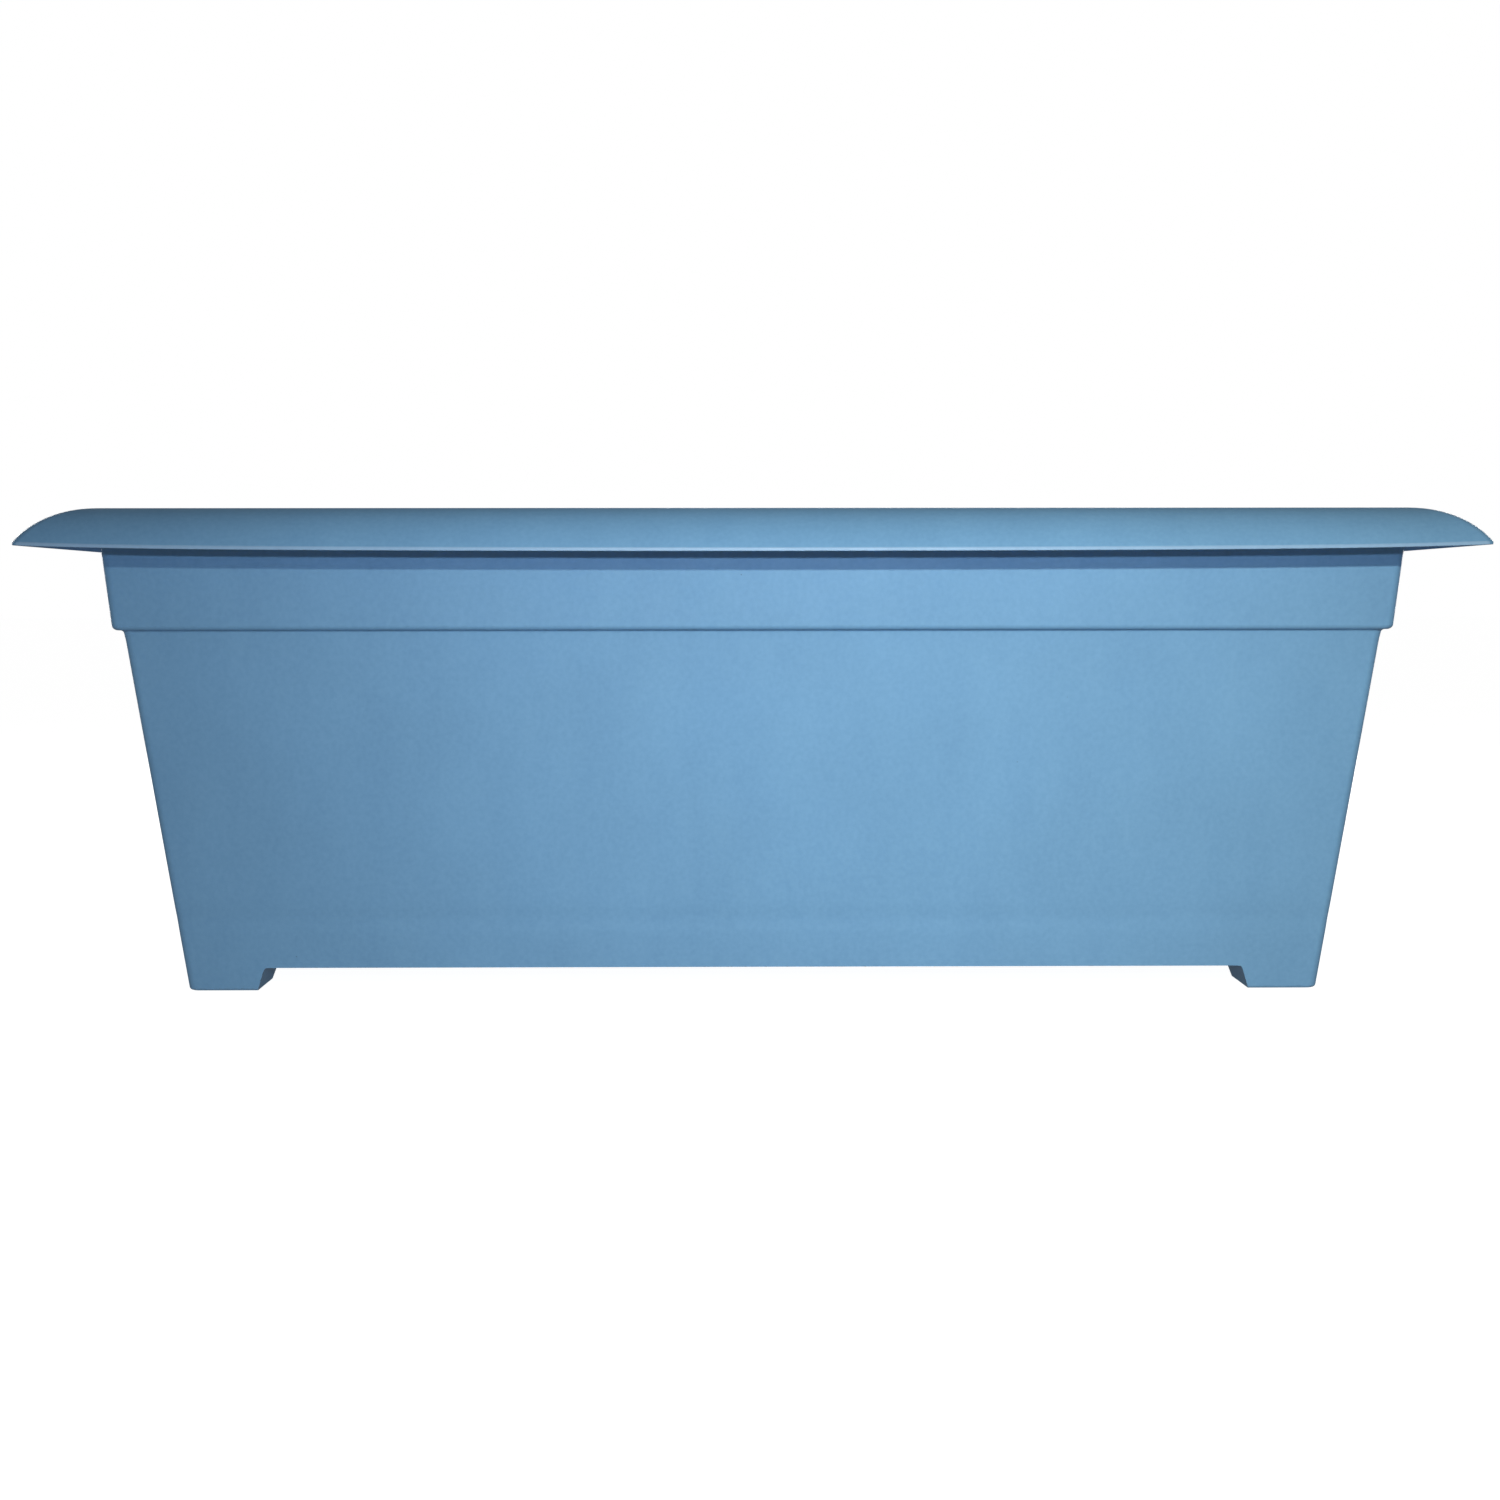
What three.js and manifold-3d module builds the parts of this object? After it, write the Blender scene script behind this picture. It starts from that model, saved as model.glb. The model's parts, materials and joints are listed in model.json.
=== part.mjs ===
// A self-watering trough planter: a moulded plastic box with a broad drooping rim, a banded top and
// four hollow corner feet. A perforated platform stands in its base and keeps the soil above a water
// reservoir. Wick cups reach down into the water, a lidded tube fills it, a float gauge shows its
// level, and plugs close the drain holes and the overflow holes.
//
// Millimetres, +Z up, +X along the trough and -Y towards the front. The origin is on the ground,
// midway between the feet.
import * as THREE from "three";
import { mergeVertices } from "three/addons/utils/BufferGeometryUtils.js";
import Module from "manifold-3d";

const wasm = await Module();
wasm.setup();

const { degToRad } = THREE.MathUtils;

// ---- Driving dimensions -------------------------------------------------------------------------

const LENGTH = 711; // over the rim
const WIDTH = 279; // over the rim
const HEIGHT = 245; // ground to the rim's crest
const WALL = 2.5;
const GAP = 0.3; // between pieces that touch

const LIP_REACH = 33; // the rim's edge stands this far out from the band below it
const LIP_RADIUS = 38.5; // of the rim's top surface, in section
const LIP_SWEEP = 57; // degrees from the crest to the edge
const LIP_DROOP = 3; // the long edges hang this much lower at mid length than at the corners

const BAND_BOTTOM = 185;
const BAND_TOP = 225; // level of the rim's edge; above it the wall is upright
const BAND_TAPER = 3.8; // the band narrows this much, each side, from top to bottom
const STEP = 4.5; // the body is set in from the band by this much
const END_DRAFT = 7.4; // degrees
const SIDE_DRAFT = 7;
const CORNER_RADIUS = 4.5;

const FOOT_HEIGHT = 12;
const FOOT_LENGTH = 35.4; // along X, at the ground
const FOOT_DEPTH = 37.4; // along Y, at the ground
const FOOT_FLARE = 4; // the inner sides of a foot lean out by this much on their way up

const FLOOR_TOP = FOOT_HEIGHT + WALL;
const LEDGE = 3.5; // the ledge that carries the platform
const LEDGE_TOP = 36;

const DECK_BOTTOM = LEDGE_TOP + GAP;
const DECK_TOP = DECK_BOTTOM + WALL;
const CUP_X = 140; // the wick cups stand at plus and minus this
const TUBE_X = 262; // the fill tube stands at plus this, the gauge at minus this
const TUBE_Y = 50;
const CUP_HOLE_RADIUS = 31;
const FILL_RADIUS = 16; // outside of the fill tube
const GAUGE_RADIUS = 12; // outside of the gauge tube
const TUBE_WALL = 2;
const SOCKET_HEIGHT = 5; // of the rings on the platform that hold the tubes

const DRAIN_X = 205;
const DRAIN_RADIUS = 7;
const OVERFLOW_LEVEL = 29.5;
const OVERFLOW_RADIUS = 4;

// ---- Materials ----------------------------------------------------------------------------------

const plastic = (color, roughness = 0.6) =>
  new THREE.MeshStandardMaterial({ color, roughness, metalness: 0 });

const BLUE = plastic(0x6fa0c8, 0.55);
const CHARCOAL = plastic(0x2e3236, 0.7);
const FOAM = plastic(0xe9e7df, 0.9);
const SIGNAL_RED = plastic(0xc8281e, 0.45);
const RUBBER = plastic(0x1b1c1d, 0.85);
const STEEL = new THREE.MeshStandardMaterial({ color: 0xb9bcc0, roughness: 0.3, metalness: 1 });
const CLEAR = new THREE.MeshStandardMaterial({
  color: 0xdfeaf0,
  roughness: 0.1,
  metalness: 0,
  transparent: true,
  opacity: 0.35,
});

// ---- Solids -------------------------------------------------------------------------------------

// A closed geometry as a solid that can be cut and joined.
function solid(geometry) {
  const bare = geometry.clone();
  bare.deleteAttribute("normal");
  bare.deleteAttribute("uv");
  const merged = mergeVertices(bare, 1e-4);
  return new wasm.Manifold(
    new wasm.Mesh({
      numProp: 3,
      vertProperties: merged.getAttribute("position").array,
      triVerts: new Uint32Array(merged.getIndex().array),
    }),
  );
}

function geometryOf(shape) {
  const mesh = shape.getMesh();
  const geometry = new THREE.BufferGeometry();
  geometry.setAttribute("position", new THREE.BufferAttribute(mesh.vertProperties, 3));
  geometry.setIndex(new THREE.BufferAttribute(mesh.triVerts, 1));
  geometry.computeVertexNormals();
  return geometry;
}

const join = (base, ...others) => others.reduce((a, b) => a.add(b), base);
const cut = (base, ...tools) => tools.reduce((a, b) => a.subtract(b), base);

// A box between two corners.
function block([x0, y0, z0], [x1, y1, z1]) {
  const geometry = new THREE.BoxGeometry(x1 - x0, y1 - y0, z1 - z0);
  return solid(geometry.translate((x0 + x1) / 2, (y0 + y1) / 2, (z0 + z1) / 2));
}

// A solid of revolution about the Z axis. The profile is a list of [radius, z], anticlockwise. It
// starts and ends on the axis, or it is a ring, which this closes.
function turned(profile, segments = 24) {
  const closed = profile[0][0] === 0 ? profile : [...profile, profile[0]];
  const points = closed.map(([r, z]) => new THREE.Vector2(r, z));
  return solid(new THREE.LatheGeometry(points, segments).rotateX(Math.PI / 2));
}

const rod = (radius, z0, z1, segments = 24) =>
  turned([[0, z0], [radius, z0], [radius, z1], [0, z1]], segments);

// A flat outline in the XY plane, extruded from z0 to z1.
function plate(shape, z0, z1) {
  const geometry = new THREE.ExtrudeGeometry(shape, { depth: z1 - z0, bevelEnabled: false });
  return solid(geometry.translate(0, 0, z0));
}

// An outline in the YZ plane, extruded along X over the length, centred on x = 0.
function bar(outline, length) {
  const shape = new THREE.Shape(outline.map(([y, z]) => new THREE.Vector2(y, z)));
  const geometry = new THREE.ExtrudeGeometry(shape, { depth: length, bevelEnabled: false });
  // The outline's first axis goes to Y, its second to Z, and the depth to X.
  const toYZ = new THREE.Matrix4().makeBasis(
    new THREE.Vector3(0, 1, 0),
    new THREE.Vector3(0, 0, 1),
    new THREE.Vector3(1, 0, 0),
  );
  return solid(geometry.translate(0, 0, -length / 2).applyMatrix4(toYZ));
}

// ---- Lofts through rounded rectangles -----------------------------------------------------------

const CORNER_STEPS = 3;

// The share of the droop at a point along a long edge, from -1 to 1: all at mid length, none at the
// corners, with most of the rise close to them.
const droopAt = (u) => 1 - 0.5 * u ** 2 - 0.5 * u ** 8;

// A rounded rectangle at one level, anticlockwise from above. sideSteps splits the two long sides,
// and sag lowers them towards mid length.
function ring({ halfX, halfY, z, radius = CORNER_RADIUS, sag = 0, sideSteps = 1 }) {
  const points = [];
  const x = halfX - radius;
  const y = halfY - radius;
  const corners = [[1, -1, -90], [1, 1, 0], [-1, 1, 90], [-1, -1, 180]];
  for (const [sx, sy, from] of corners) {
    for (let i = 0; i <= CORNER_STEPS; i++) {
      const a = degToRad(from + (90 * i) / CORNER_STEPS);
      points.push([sx * x + radius * Math.cos(a), sy * y + radius * Math.sin(a)]);
    }
    if (sx === sy) {
      for (let i = 1; i < sideSteps; i++) {
        points.push([sx * x * (1 - (2 * i) / sideSteps), sy * halfY]);
      }
    }
  }
  return points.map(([px, py]) => [px, py, z - sag * droopAt(px / halfX)]);
}

// The solid through a list of rings, from the lowest middle outwards, up and back to the middle.
// The first and the last ring are flat and are closed by a fan.
function loft(rings) {
  const count = rings[0].length;
  const last = (rings.length - 1) * count;
  const bottom = rings.length * count;
  const top = bottom + 1;
  const index = [];
  for (let r = 0; r < last; r += count) {
    for (let i = 0; i < count; i++) {
      const j = (i + 1) % count;
      index.push(r + i, r + j, r + count + j, r + i, r + count + j, r + count + i);
    }
  }
  for (let i = 0; i < count; i++) {
    const j = (i + 1) % count;
    index.push(bottom, j, i, top, last + i, last + j);
  }
  const middles = [[0, 0, rings[0][0][2]], [0, 0, rings.at(-1)[0][2]]];
  const positions = [...rings.flat(), ...middles].flat();
  const geometry = new THREE.BufferGeometry();
  geometry.setAttribute("position", new THREE.Float32BufferAttribute(positions, 3));
  geometry.setIndex(index);
  return solid(geometry);
}

// ---- The box ------------------------------------------------------------------------------------

const BAND_TOP_X = LENGTH / 2 - LIP_REACH;
const BAND_TOP_Y = WIDTH / 2 - LIP_REACH;
const BODY_TOP_X = BAND_TOP_X - BAND_TAPER - STEP;
const BODY_TOP_Y = BAND_TOP_Y - BAND_TAPER - STEP;
const LONG_STEPS = 8; // of a long side's rings
const LIP_STEPS = 6; // of the rim's curve
const CREST_INSET = LIP_RADIUS * Math.sin(degToRad(LIP_SWEEP)); // from the rim's edge

// Half sizes of the outside at a level, less an inset: on the tapered body, and on the band.
const bodyAt = (z, inset = 0) => ({
  halfX: BODY_TOP_X - (BAND_BOTTOM - z) * Math.tan(degToRad(END_DRAFT)) - inset,
  halfY: BODY_TOP_Y - (BAND_BOTTOM - z) * Math.tan(degToRad(SIDE_DRAFT)) - inset,
  z,
});

function bandAt(z, inset = 0) {
  const drop = Math.max(0, BAND_TOP - z) / (BAND_TOP - BAND_BOTTOM);
  const taper = BAND_TAPER * drop + inset;
  return { halfX: BAND_TOP_X - taper, halfY: BAND_TOP_Y - taper, z };
}

// A ring on the curved rim, at a radius from the centre of its section and an angle from the crest.
function lipAt(radius, degrees) {
  const a = degToRad(degrees);
  const out = radius * Math.sin(a) - CREST_INSET;
  return {
    halfX: LENGTH / 2 + out,
    halfY: WIDTH / 2 + out,
    z: HEIGHT - LIP_RADIUS + radius * Math.cos(a),
    sag: LIP_DROOP * (degrees / LIP_SWEEP) ** 2,
  };
}

const longRing = (spec) => ring({ ...spec, sideSteps: LONG_STEPS });

// Everything inside the outer surface, rim and all, down to the ground.
function outerForm() {
  const edge = 1.2; // radius of the band's lower edge and of the corner under it
  const underside = LIP_RADIUS - WALL;
  const tip = lipAt(LIP_RADIUS, LIP_SWEEP);
  const rings = [
    bodyAt(0),
    bodyAt(BAND_BOTTOM - 2 * edge),
    { ...bodyAt(BAND_BOTTOM, -0.4 * edge), z: BAND_BOTTOM - 0.4 * edge },
    { ...bodyAt(BAND_BOTTOM, -edge), z: BAND_BOTTOM },
    bandAt(BAND_BOTTOM, edge),
    { ...bandAt(BAND_BOTTOM, 0.3 * edge), z: BAND_BOTTOM + 0.3 * edge },
    bandAt(BAND_BOTTOM + edge),
    bandAt(BAND_TOP),
    bandAt(HEIGHT - 2 * WALL),
  ];
  const angle = (i) => (LIP_SWEEP * i) / LIP_STEPS;
  for (let i = 1; i <= LIP_STEPS; i++) rings.push(lipAt(underside, angle(i)));
  rings.push({ ...tip, z: tip.z - WALL * Math.cos(degToRad(LIP_SWEEP)) });
  for (let i = LIP_STEPS; i >= 0; i--) rings.push(lipAt(LIP_RADIUS, angle(i)));
  return loft(rings.map(longRing));
}

// The space inside the walls, from the floor up through the rim, with the platform's ledge.
function innerForm() {
  const round = LIP_REACH + WALL - CREST_INSET; // where the inner wall turns over into the rim
  const above = 5; // how far the cut runs on past the crest
  const inner = (spec) => longRing({ ...spec, radius: CORNER_RADIUS - WALL });
  const ledge = bodyAt(LEDGE_TOP, WALL + LEDGE);
  const mouth = bandAt(HEIGHT - round, WALL);
  const specs = [
    { ...ledge, z: FLOOR_TOP },
    ledge,
    bodyAt(LEDGE_TOP, WALL),
    bodyAt(BAND_BOTTOM - 1, WALL),
    { ...bandAt(BAND_BOTTOM, WALL), z: BAND_BOTTOM + 2 },
    bandAt(BAND_TOP, WALL),
  ];
  for (let a = 0; a <= 90; a += 30) {
    const out = round * (1 - Math.cos(degToRad(a)));
    specs.push({
      halfX: mouth.halfX + out,
      halfY: mouth.halfY + out,
      z: mouth.z + round * Math.sin(degToRad(a)),
    });
  }
  specs.push({ ...specs.at(-1), z: HEIGHT + above });
  return loft(specs.map(inner));
}

// What is cut away below the floor to leave the four feet: one passage along each axis.
function footPassages() {
  const halfX = bodyAt(0).halfX - FOOT_LENGTH;
  const halfY = bodyAt(0).halfY - FOOT_DEPTH;
  const below = 2; // how far the cut runs on past the ground
  const outline = (half) => {
    const low = half + (FOOT_FLARE * below) / FOOT_HEIGHT;
    const high = half - FOOT_FLARE;
    return [[-low, -below], [low, -below], [high, FOOT_HEIGHT], [-high, FOOT_HEIGHT]];
  };
  return [bar(outline(halfY), LENGTH), bar(outline(halfX), LENGTH).rotate([0, 0, 90])];
}

// The hollow of the foot in the corner where X and Y are positive.
function footHollow() {
  const lean = 3; // each side, over the depth of the hollow
  const corner = bodyAt(0, -WALL);
  const ledge = bodyAt(LEDGE_TOP, WALL + LEDGE + GAP);
  const x0 = corner.halfX - FOOT_LENGTH - FOOT_FLARE;
  const y0 = corner.halfY - FOOT_DEPTH - FOOT_FLARE;
  const level = (z, inset) => ring({
    halfX: (ledge.halfX - x0) / 2 - inset,
    halfY: (ledge.halfY - y0) / 2 - inset,
    z,
    radius: 3,
  });
  const centre = [(ledge.halfX + x0) / 2, (ledge.halfY + y0) / 2, 0];
  return loft([level(WALL, lean), level(FLOOR_TOP, 0), level(FLOOR_TOP + 1, 0)]).translate(centre);
}

// Puts a shape modelled about the Z axis on the overflow hole of one end: its +Z points straight out
// of that end's sloping wall, with z = 0 on the outer surface.
function atOverflow(shape, side) {
  const { halfX } = bodyAt(OVERFLOW_LEVEL);
  return shape.rotate([0, side * (90 + END_DRAFT), 0]).translate([side * halfX, 0, OVERFLOW_LEVEL]);
}

function planterBox() {
  const hollow = footHollow();
  const rightFeet = [hollow, hollow.mirror([0, 1, 0])];
  const leftFeet = rightFeet.map((foot) => foot.mirror([1, 0, 0]));
  const drain = rod(DRAIN_RADIUS, 0, LEDGE_TOP);
  const overflow = rod(OVERFLOW_RADIUS, -WALL - LEDGE - 6, 4, 16);
  return cut(
    outerForm(),
    innerForm(),
    ...footPassages(),
    ...rightFeet,
    ...leftFeet,
    ...[-1, 1].map((side) => drain.translate([side * DRAIN_X, 0, 0])),
    ...[-1, 1].map((side) => atOverflow(overflow, side)),
  );
}

// ---- The platform -------------------------------------------------------------------------------

const DECK = bodyAt(DECK_BOTTOM, WALL + 0.9); // half sizes of the deck, clear of the walls
const UPSTAND = 4; // height and, halved, thickness of the deck's raised edge
const TUBE_ROOM = 0.6; // between a tube and its hole in the deck
const RIB_Y = 41;
const RIB_DEPTH = 8;
const LEG_RADIUS = 6;
const LEG_SPOTS = [
  [0, 0],
  ...[-70, 70].flatMap((x) => [[x, -RIB_Y], [x, RIB_Y]]),
  ...[-DRAIN_X, DRAIN_X].map((x) => [x, -RIB_Y]),
];
const SLOT_LENGTH = 20;
const SLOT_WIDTH = 4;
const SLOT_PITCH_X = 28;
const SLOT_PITCH_Y = 16;

// The drain slots fill a grid, apart from where something else stands.
function slotSpots() {
  const land = 14; // left whole round the cups and the tubes
  const keepOut = [
    [-CUP_X, 0, CUP_HOLE_RADIUS + land],
    [CUP_X, 0, CUP_HOLE_RADIUS + land],
    [TUBE_X, TUBE_Y, FILL_RADIUS + land],
    [-TUBE_X, TUBE_Y, GAUGE_RADIUS + land],
    ...LEG_SPOTS.map(([x, y]) => [x, y, LEG_RADIUS + 3]),
  ];
  const free = (x, y) => keepOut.every(([kx, ky, radius]) => {
    const along = Math.max(Math.abs(x - kx) - 0.3 * SLOT_LENGTH, 0);
    return Math.hypot(along, y - ky) >= radius;
  });
  const spots = [];
  for (let column = -9; column <= 9; column++) {
    for (let row = -4; row <= 4; row++) {
      const [x, y] = [column * SLOT_PITCH_X, row * SLOT_PITCH_Y];
      if (free(x, y)) spots.push([x, y]);
    }
  }
  return spots;
}

function deckOutline(inset) {
  const points = ring({ halfX: DECK.halfX - inset, halfY: DECK.halfY - inset, z: 0, radius: 3 });
  return points.map(([x, y]) => new THREE.Vector2(x, y));
}

// The raised edge round the deck.
function upstand() {
  const shape = new THREE.Shape(deckOutline(0));
  shape.holes.push(new THREE.Path(deckOutline(UPSTAND / 2)));
  return plate(shape, DECK_BOTTOM, DECK_TOP + UPSTAND);
}

// A ring on the deck that holds the foot of a tube.
function socket(tubeRadius) {
  const inner = tubeRadius + TUBE_ROOM;
  const outer = tubeRadius + 3;
  const z0 = DECK_TOP - 1;
  const z1 = DECK_TOP + SOCKET_HEIGHT;
  return turned([[inner, z0], [outer, z0], [outer, z1], [inner, z1]]);
}

// A hollow leg, open at its foot.
function leg() {
  const foot = FLOOR_TOP + GAP;
  const top = DECK_BOTTOM + 1;
  const bore = LEG_RADIUS - 2.4;
  return turned([[0, top - 3], [bore, top - 3], [bore, foot], [LEG_RADIUS, foot],
    [LEG_RADIUS + 0.6, top], [0, top]], 12);
}

// The two ribs under the deck. The back one stops short of the tubes.
function ribs() {
  const frontHalf = DECK.halfX - 12;
  const backHalf = TUBE_X - FILL_RADIUS - 6;
  return [[frontHalf, -RIB_Y], [backHalf, RIB_Y]].map(([half, y]) =>
    block([-half, y - 1, DECK_BOTTOM - RIB_DEPTH], [half, y + 1, DECK_BOTTOM + 1]),
  );
}

// The deck with its openings: for the cups, for the tubes, and the drain slots.
function deck() {
  const z0 = DECK_BOTTOM - 1;
  const z1 = DECK_TOP + 1;
  const opening = (radius, x, y) => rod(radius, z0, z1).translate([x, y, 0]);
  const slot = block([-SLOT_LENGTH / 2, -SLOT_WIDTH / 2, z0], [SLOT_LENGTH / 2, SLOT_WIDTH / 2, z1]);
  return cut(
    plate(new THREE.Shape(deckOutline(0)), DECK_BOTTOM, DECK_TOP),
    opening(CUP_HOLE_RADIUS, -CUP_X, 0),
    opening(CUP_HOLE_RADIUS, CUP_X, 0),
    opening(FILL_RADIUS + TUBE_ROOM, TUBE_X, TUBE_Y),
    opening(GAUGE_RADIUS + TUBE_ROOM, -TUBE_X, TUBE_Y),
    ...slotSpots().map(([x, y]) => slot.translate([x, y, 0])),
  );
}

const platform = () => join(
  deck(),
  upstand(),
  socket(FILL_RADIUS).translate([TUBE_X, TUBE_Y, 0]),
  socket(GAUGE_RADIUS).translate([-TUBE_X, TUBE_Y, 0]),
  ...LEG_SPOTS.map(([x, y]) => leg().translate([x, y, 0])),
  ...ribs(),
);

// A slotted cup that hangs in the platform by its flange and stands in the water. Soil fills it.
function wickCup() {
  const bottom = FLOOR_TOP + GAP;
  const flange = DECK_TOP + GAP;
  const wall = 2;
  const [low, high, outer] = [23, 30, 35]; // radii outside, at the bottom, under the flange, of it
  const cup = turned([[0, bottom], [low, bottom], [high, flange], [outer, flange],
    [outer, flange + wall], [high - wall, flange + wall], [low - wall, bottom + wall],
    [0, bottom + wall]]);
  const slot = block([-outer, -SLOT_WIDTH / 2, bottom + 4], [outer, SLOT_WIDTH / 2, flange - 5]);
  const slots = [0, 1, 2, 3, 4, 5].map((i) => slot.rotate([0, 0, 15 + 30 * i]));
  const drain = rod(5, 0, DECK_BOTTOM, 12);
  return cut(cup, ...slots, drain);
}

// ---- The fill tube and its lid ------------------------------------------------------------------

const TUBE_BOTTOM = FLOOR_TOP + 1;
const SHOULDER = DECK_TOP + SOCKET_HEIGHT + GAP; // where a tube's flange rests on its socket
const FILL_TOP = 226;
const COLLAR_LOW = FILL_TOP - 12;
const COLLAR_TOP = FILL_TOP + 3;
const COLLAR_RADIUS = 18.6;
const PIN_Y = 22.4; // behind the tube's axis
const PIN_Z = COLLAR_TOP + 0.6;
const PIN_RADIUS = 1.4;
const PIN_HOLE_RADIUS = 1.75;
const KNUCKLE_RADIUS = 2.9;
const KNUCKLE_HALF = 4.6;
const EAR_X = KNUCKLE_HALF + 0.4; // inner face of an ear
const EAR = 3.2; // thickness of an ear, and its radius round the pin

// A tube on the Z axis that stands in a socket by its flange, with four notches at its foot.
function socketTube(radius, top) {
  const bore = radius - TUBE_WALL;
  const flange = radius + 3;
  const tube = turned([[radius, TUBE_BOTTOM], [radius, SHOULDER], [flange, SHOULDER],
    [flange, SHOULDER + 2], [radius, SHOULDER + 2], [radius, top], [bore, top],
    [bore, TUBE_BOTTOM]]);
  const notch = block([-radius - 1, -3, 0], [radius + 1, 3, TUBE_BOTTOM + 10]);
  return cut(tube, notch, notch.rotate([0, 0, 90]));
}

const fillTube = () => socketTube(FILL_RADIUS, FILL_TOP);

// A round bar along X through the hinge.
const alongHinge = (radius, half) =>
  rod(radius, -half, half, 12).rotate([0, 90, 0]).translate([0, PIN_Y, PIN_Z]);

// One ear of the collar, whose lowest x is x0: a root on the ring, and a round end at the pin.
function collarEar(x0) {
  const root = block([x0, COLLAR_RADIUS - 3, FILL_TOP - 6], [x0 + EAR, PIN_Y + EAR, PIN_Z]);
  const lidRoom = block([x0 - 1, 0, COLLAR_TOP], [x0 + EAR + 1, PIN_Y - EAR, HEIGHT]);
  const round = rod(EAR, 0, EAR, 12).rotate([0, 90, 0]).translate([x0, PIN_Y, PIN_Z]);
  return join(cut(root, rod(FILL_RADIUS + 1, 0, HEIGHT), lidRoom), round);
}

// The ring that snaps over the fill tube's mouth, with two ears for the lid's pin.
function fillCollar() {
  const bore = FILL_RADIUS + GAP;
  const mouth = FILL_RADIUS - TUBE_WALL;
  const body = turned([[bore, COLLAR_LOW], [COLLAR_RADIUS, COLLAR_LOW], [COLLAR_RADIUS, COLLAR_TOP],
    [mouth, COLLAR_TOP], [mouth, FILL_TOP + GAP], [bore, FILL_TOP + GAP]]);
  const ears = [collarEar(-EAR_X - EAR), collarEar(EAR_X)];
  return cut(join(body, ...ears), alongHinge(PIN_HOLE_RADIUS, EAR_X + EAR + 1));
}

const lidPin = () => alongHinge(PIN_RADIUS, EAR_X + EAR);

// The domed lid, with a tab in front to lift it by, and an arm and a knuckle behind.
function fillLid() {
  const z0 = COLLAR_TOP + GAP;
  const z1 = z0 + 2.4;
  const disc = turned([[0, z0], [COLLAR_RADIUS - 0.4, z0], [COLLAR_RADIUS, z0 + 0.8],
    [COLLAR_RADIUS - 0.8, z1], [0, z1 + 0.8]]);
  const tab = block([-6, -COLLAR_RADIUS - 6, z0 + 0.4], [6, -COLLAR_RADIUS + 3, z1 - 0.3]);
  const arm = block([-KNUCKLE_HALF, COLLAR_RADIUS - 5, z0 + 0.1], [KNUCKLE_HALF, PIN_Y, z1]);
  const knuckle = alongHinge(KNUCKLE_RADIUS, KNUCKLE_HALF);
  const collarRoom = rod(COLLAR_RADIUS + GAP, 0, z0 - 0.01);
  const lid = join(disc, tab, arm, knuckle);
  return cut(lid, alongHinge(PIN_HOLE_RADIUS, KNUCKLE_HALF + 1), collarRoom);
}

// ---- The water gauge ----------------------------------------------------------------------------

const GAUGE_TOP = 205;
const GUIDE_RADIUS = 2.9; // the hole that guides the float's rod
const GUIDE_TOP = GAUGE_TOP + GAP + 1.8;
const WINDOW_LOW = GAUGE_TOP - 9;
const WINDOW_TOP = 240;
const WINDOW_WALL = 1.8;
const FLOAT_BOTTOM = FLOOR_TOP + 1.2;
const FLOAT_TOP = FLOAT_BOTTOM + 13;
const FLOAT_RADIUS = 9;
const ROD_RADIUS = 1.8;
const ROD_TOP = 212;
const TIP_RADIUS = 4;
const TIP_TOP = ROD_TOP + 7;

const gaugeTube = () => socketTube(GAUGE_RADIUS, GAUGE_TOP);

// The bush in the gauge tube's mouth that keeps the float's rod upright.
function gaugeGuide() {
  const plug = GAUGE_RADIUS - TUBE_WALL - GAP;
  const top = GAUGE_TOP + GAP;
  return turned([[GUIDE_RADIUS, top - 7], [GUIDE_RADIUS + 1.6, top - 7], [plug, top - 5],
    [plug, top], [GAUGE_RADIUS, top], [GAUGE_RADIUS, GUIDE_TOP], [GUIDE_RADIUS, GUIDE_TOP]]);
}

// A clear cap over the gauge tube. The red tip rises inside it.
function gaugeWindow() {
  const bore = GAUGE_RADIUS + GAP;
  const outer = bore + WINDOW_WALL;
  const ceiling = WINDOW_TOP - 2;
  return turned([[bore, WINDOW_LOW], [outer, WINDOW_LOW], [outer, WINDOW_TOP - 5],
    [outer - 1.5, WINDOW_TOP - 1.5], [outer - 5, WINDOW_TOP], [0, WINDOW_TOP], [0, ceiling],
    [GAUGE_RADIUS - 5, ceiling], [GAUGE_RADIUS - 1.5, ceiling - 2],
    [GAUGE_RADIUS - 1, GUIDE_TOP + GAP], [bore, GUIDE_TOP + GAP]]);
}

function gaugeFloat() {
  const edge = 1.5;
  return turned([[0, FLOAT_BOTTOM], [FLOAT_RADIUS - edge, FLOAT_BOTTOM],
    [FLOAT_RADIUS, FLOAT_BOTTOM + edge], [FLOAT_RADIUS, FLOAT_TOP - edge],
    [FLOAT_RADIUS - edge, FLOAT_TOP], [0, FLOAT_TOP]], 16);
}

const floatRod = () => rod(ROD_RADIUS, FLOAT_TOP + GAP, ROD_TOP, 12);

const floatTip = () =>
  turned([[0, ROD_TOP + GAP], [TIP_RADIUS, ROD_TOP + GAP], [TIP_RADIUS, TIP_TOP - 2],
    [0.65 * TIP_RADIUS, TIP_TOP - 0.6], [0, TIP_TOP]], 16);

// ---- Plugs --------------------------------------------------------------------------------------

const GASKET = 1.6;
const HEAD_TOP = FOOT_HEIGHT - GASKET - 2 * GAP; // the head's face under the gasket
const HEAD_RADIUS = 12;
const PLUG_ROOM = 0.4; // between a plug's shank and its hole

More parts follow.
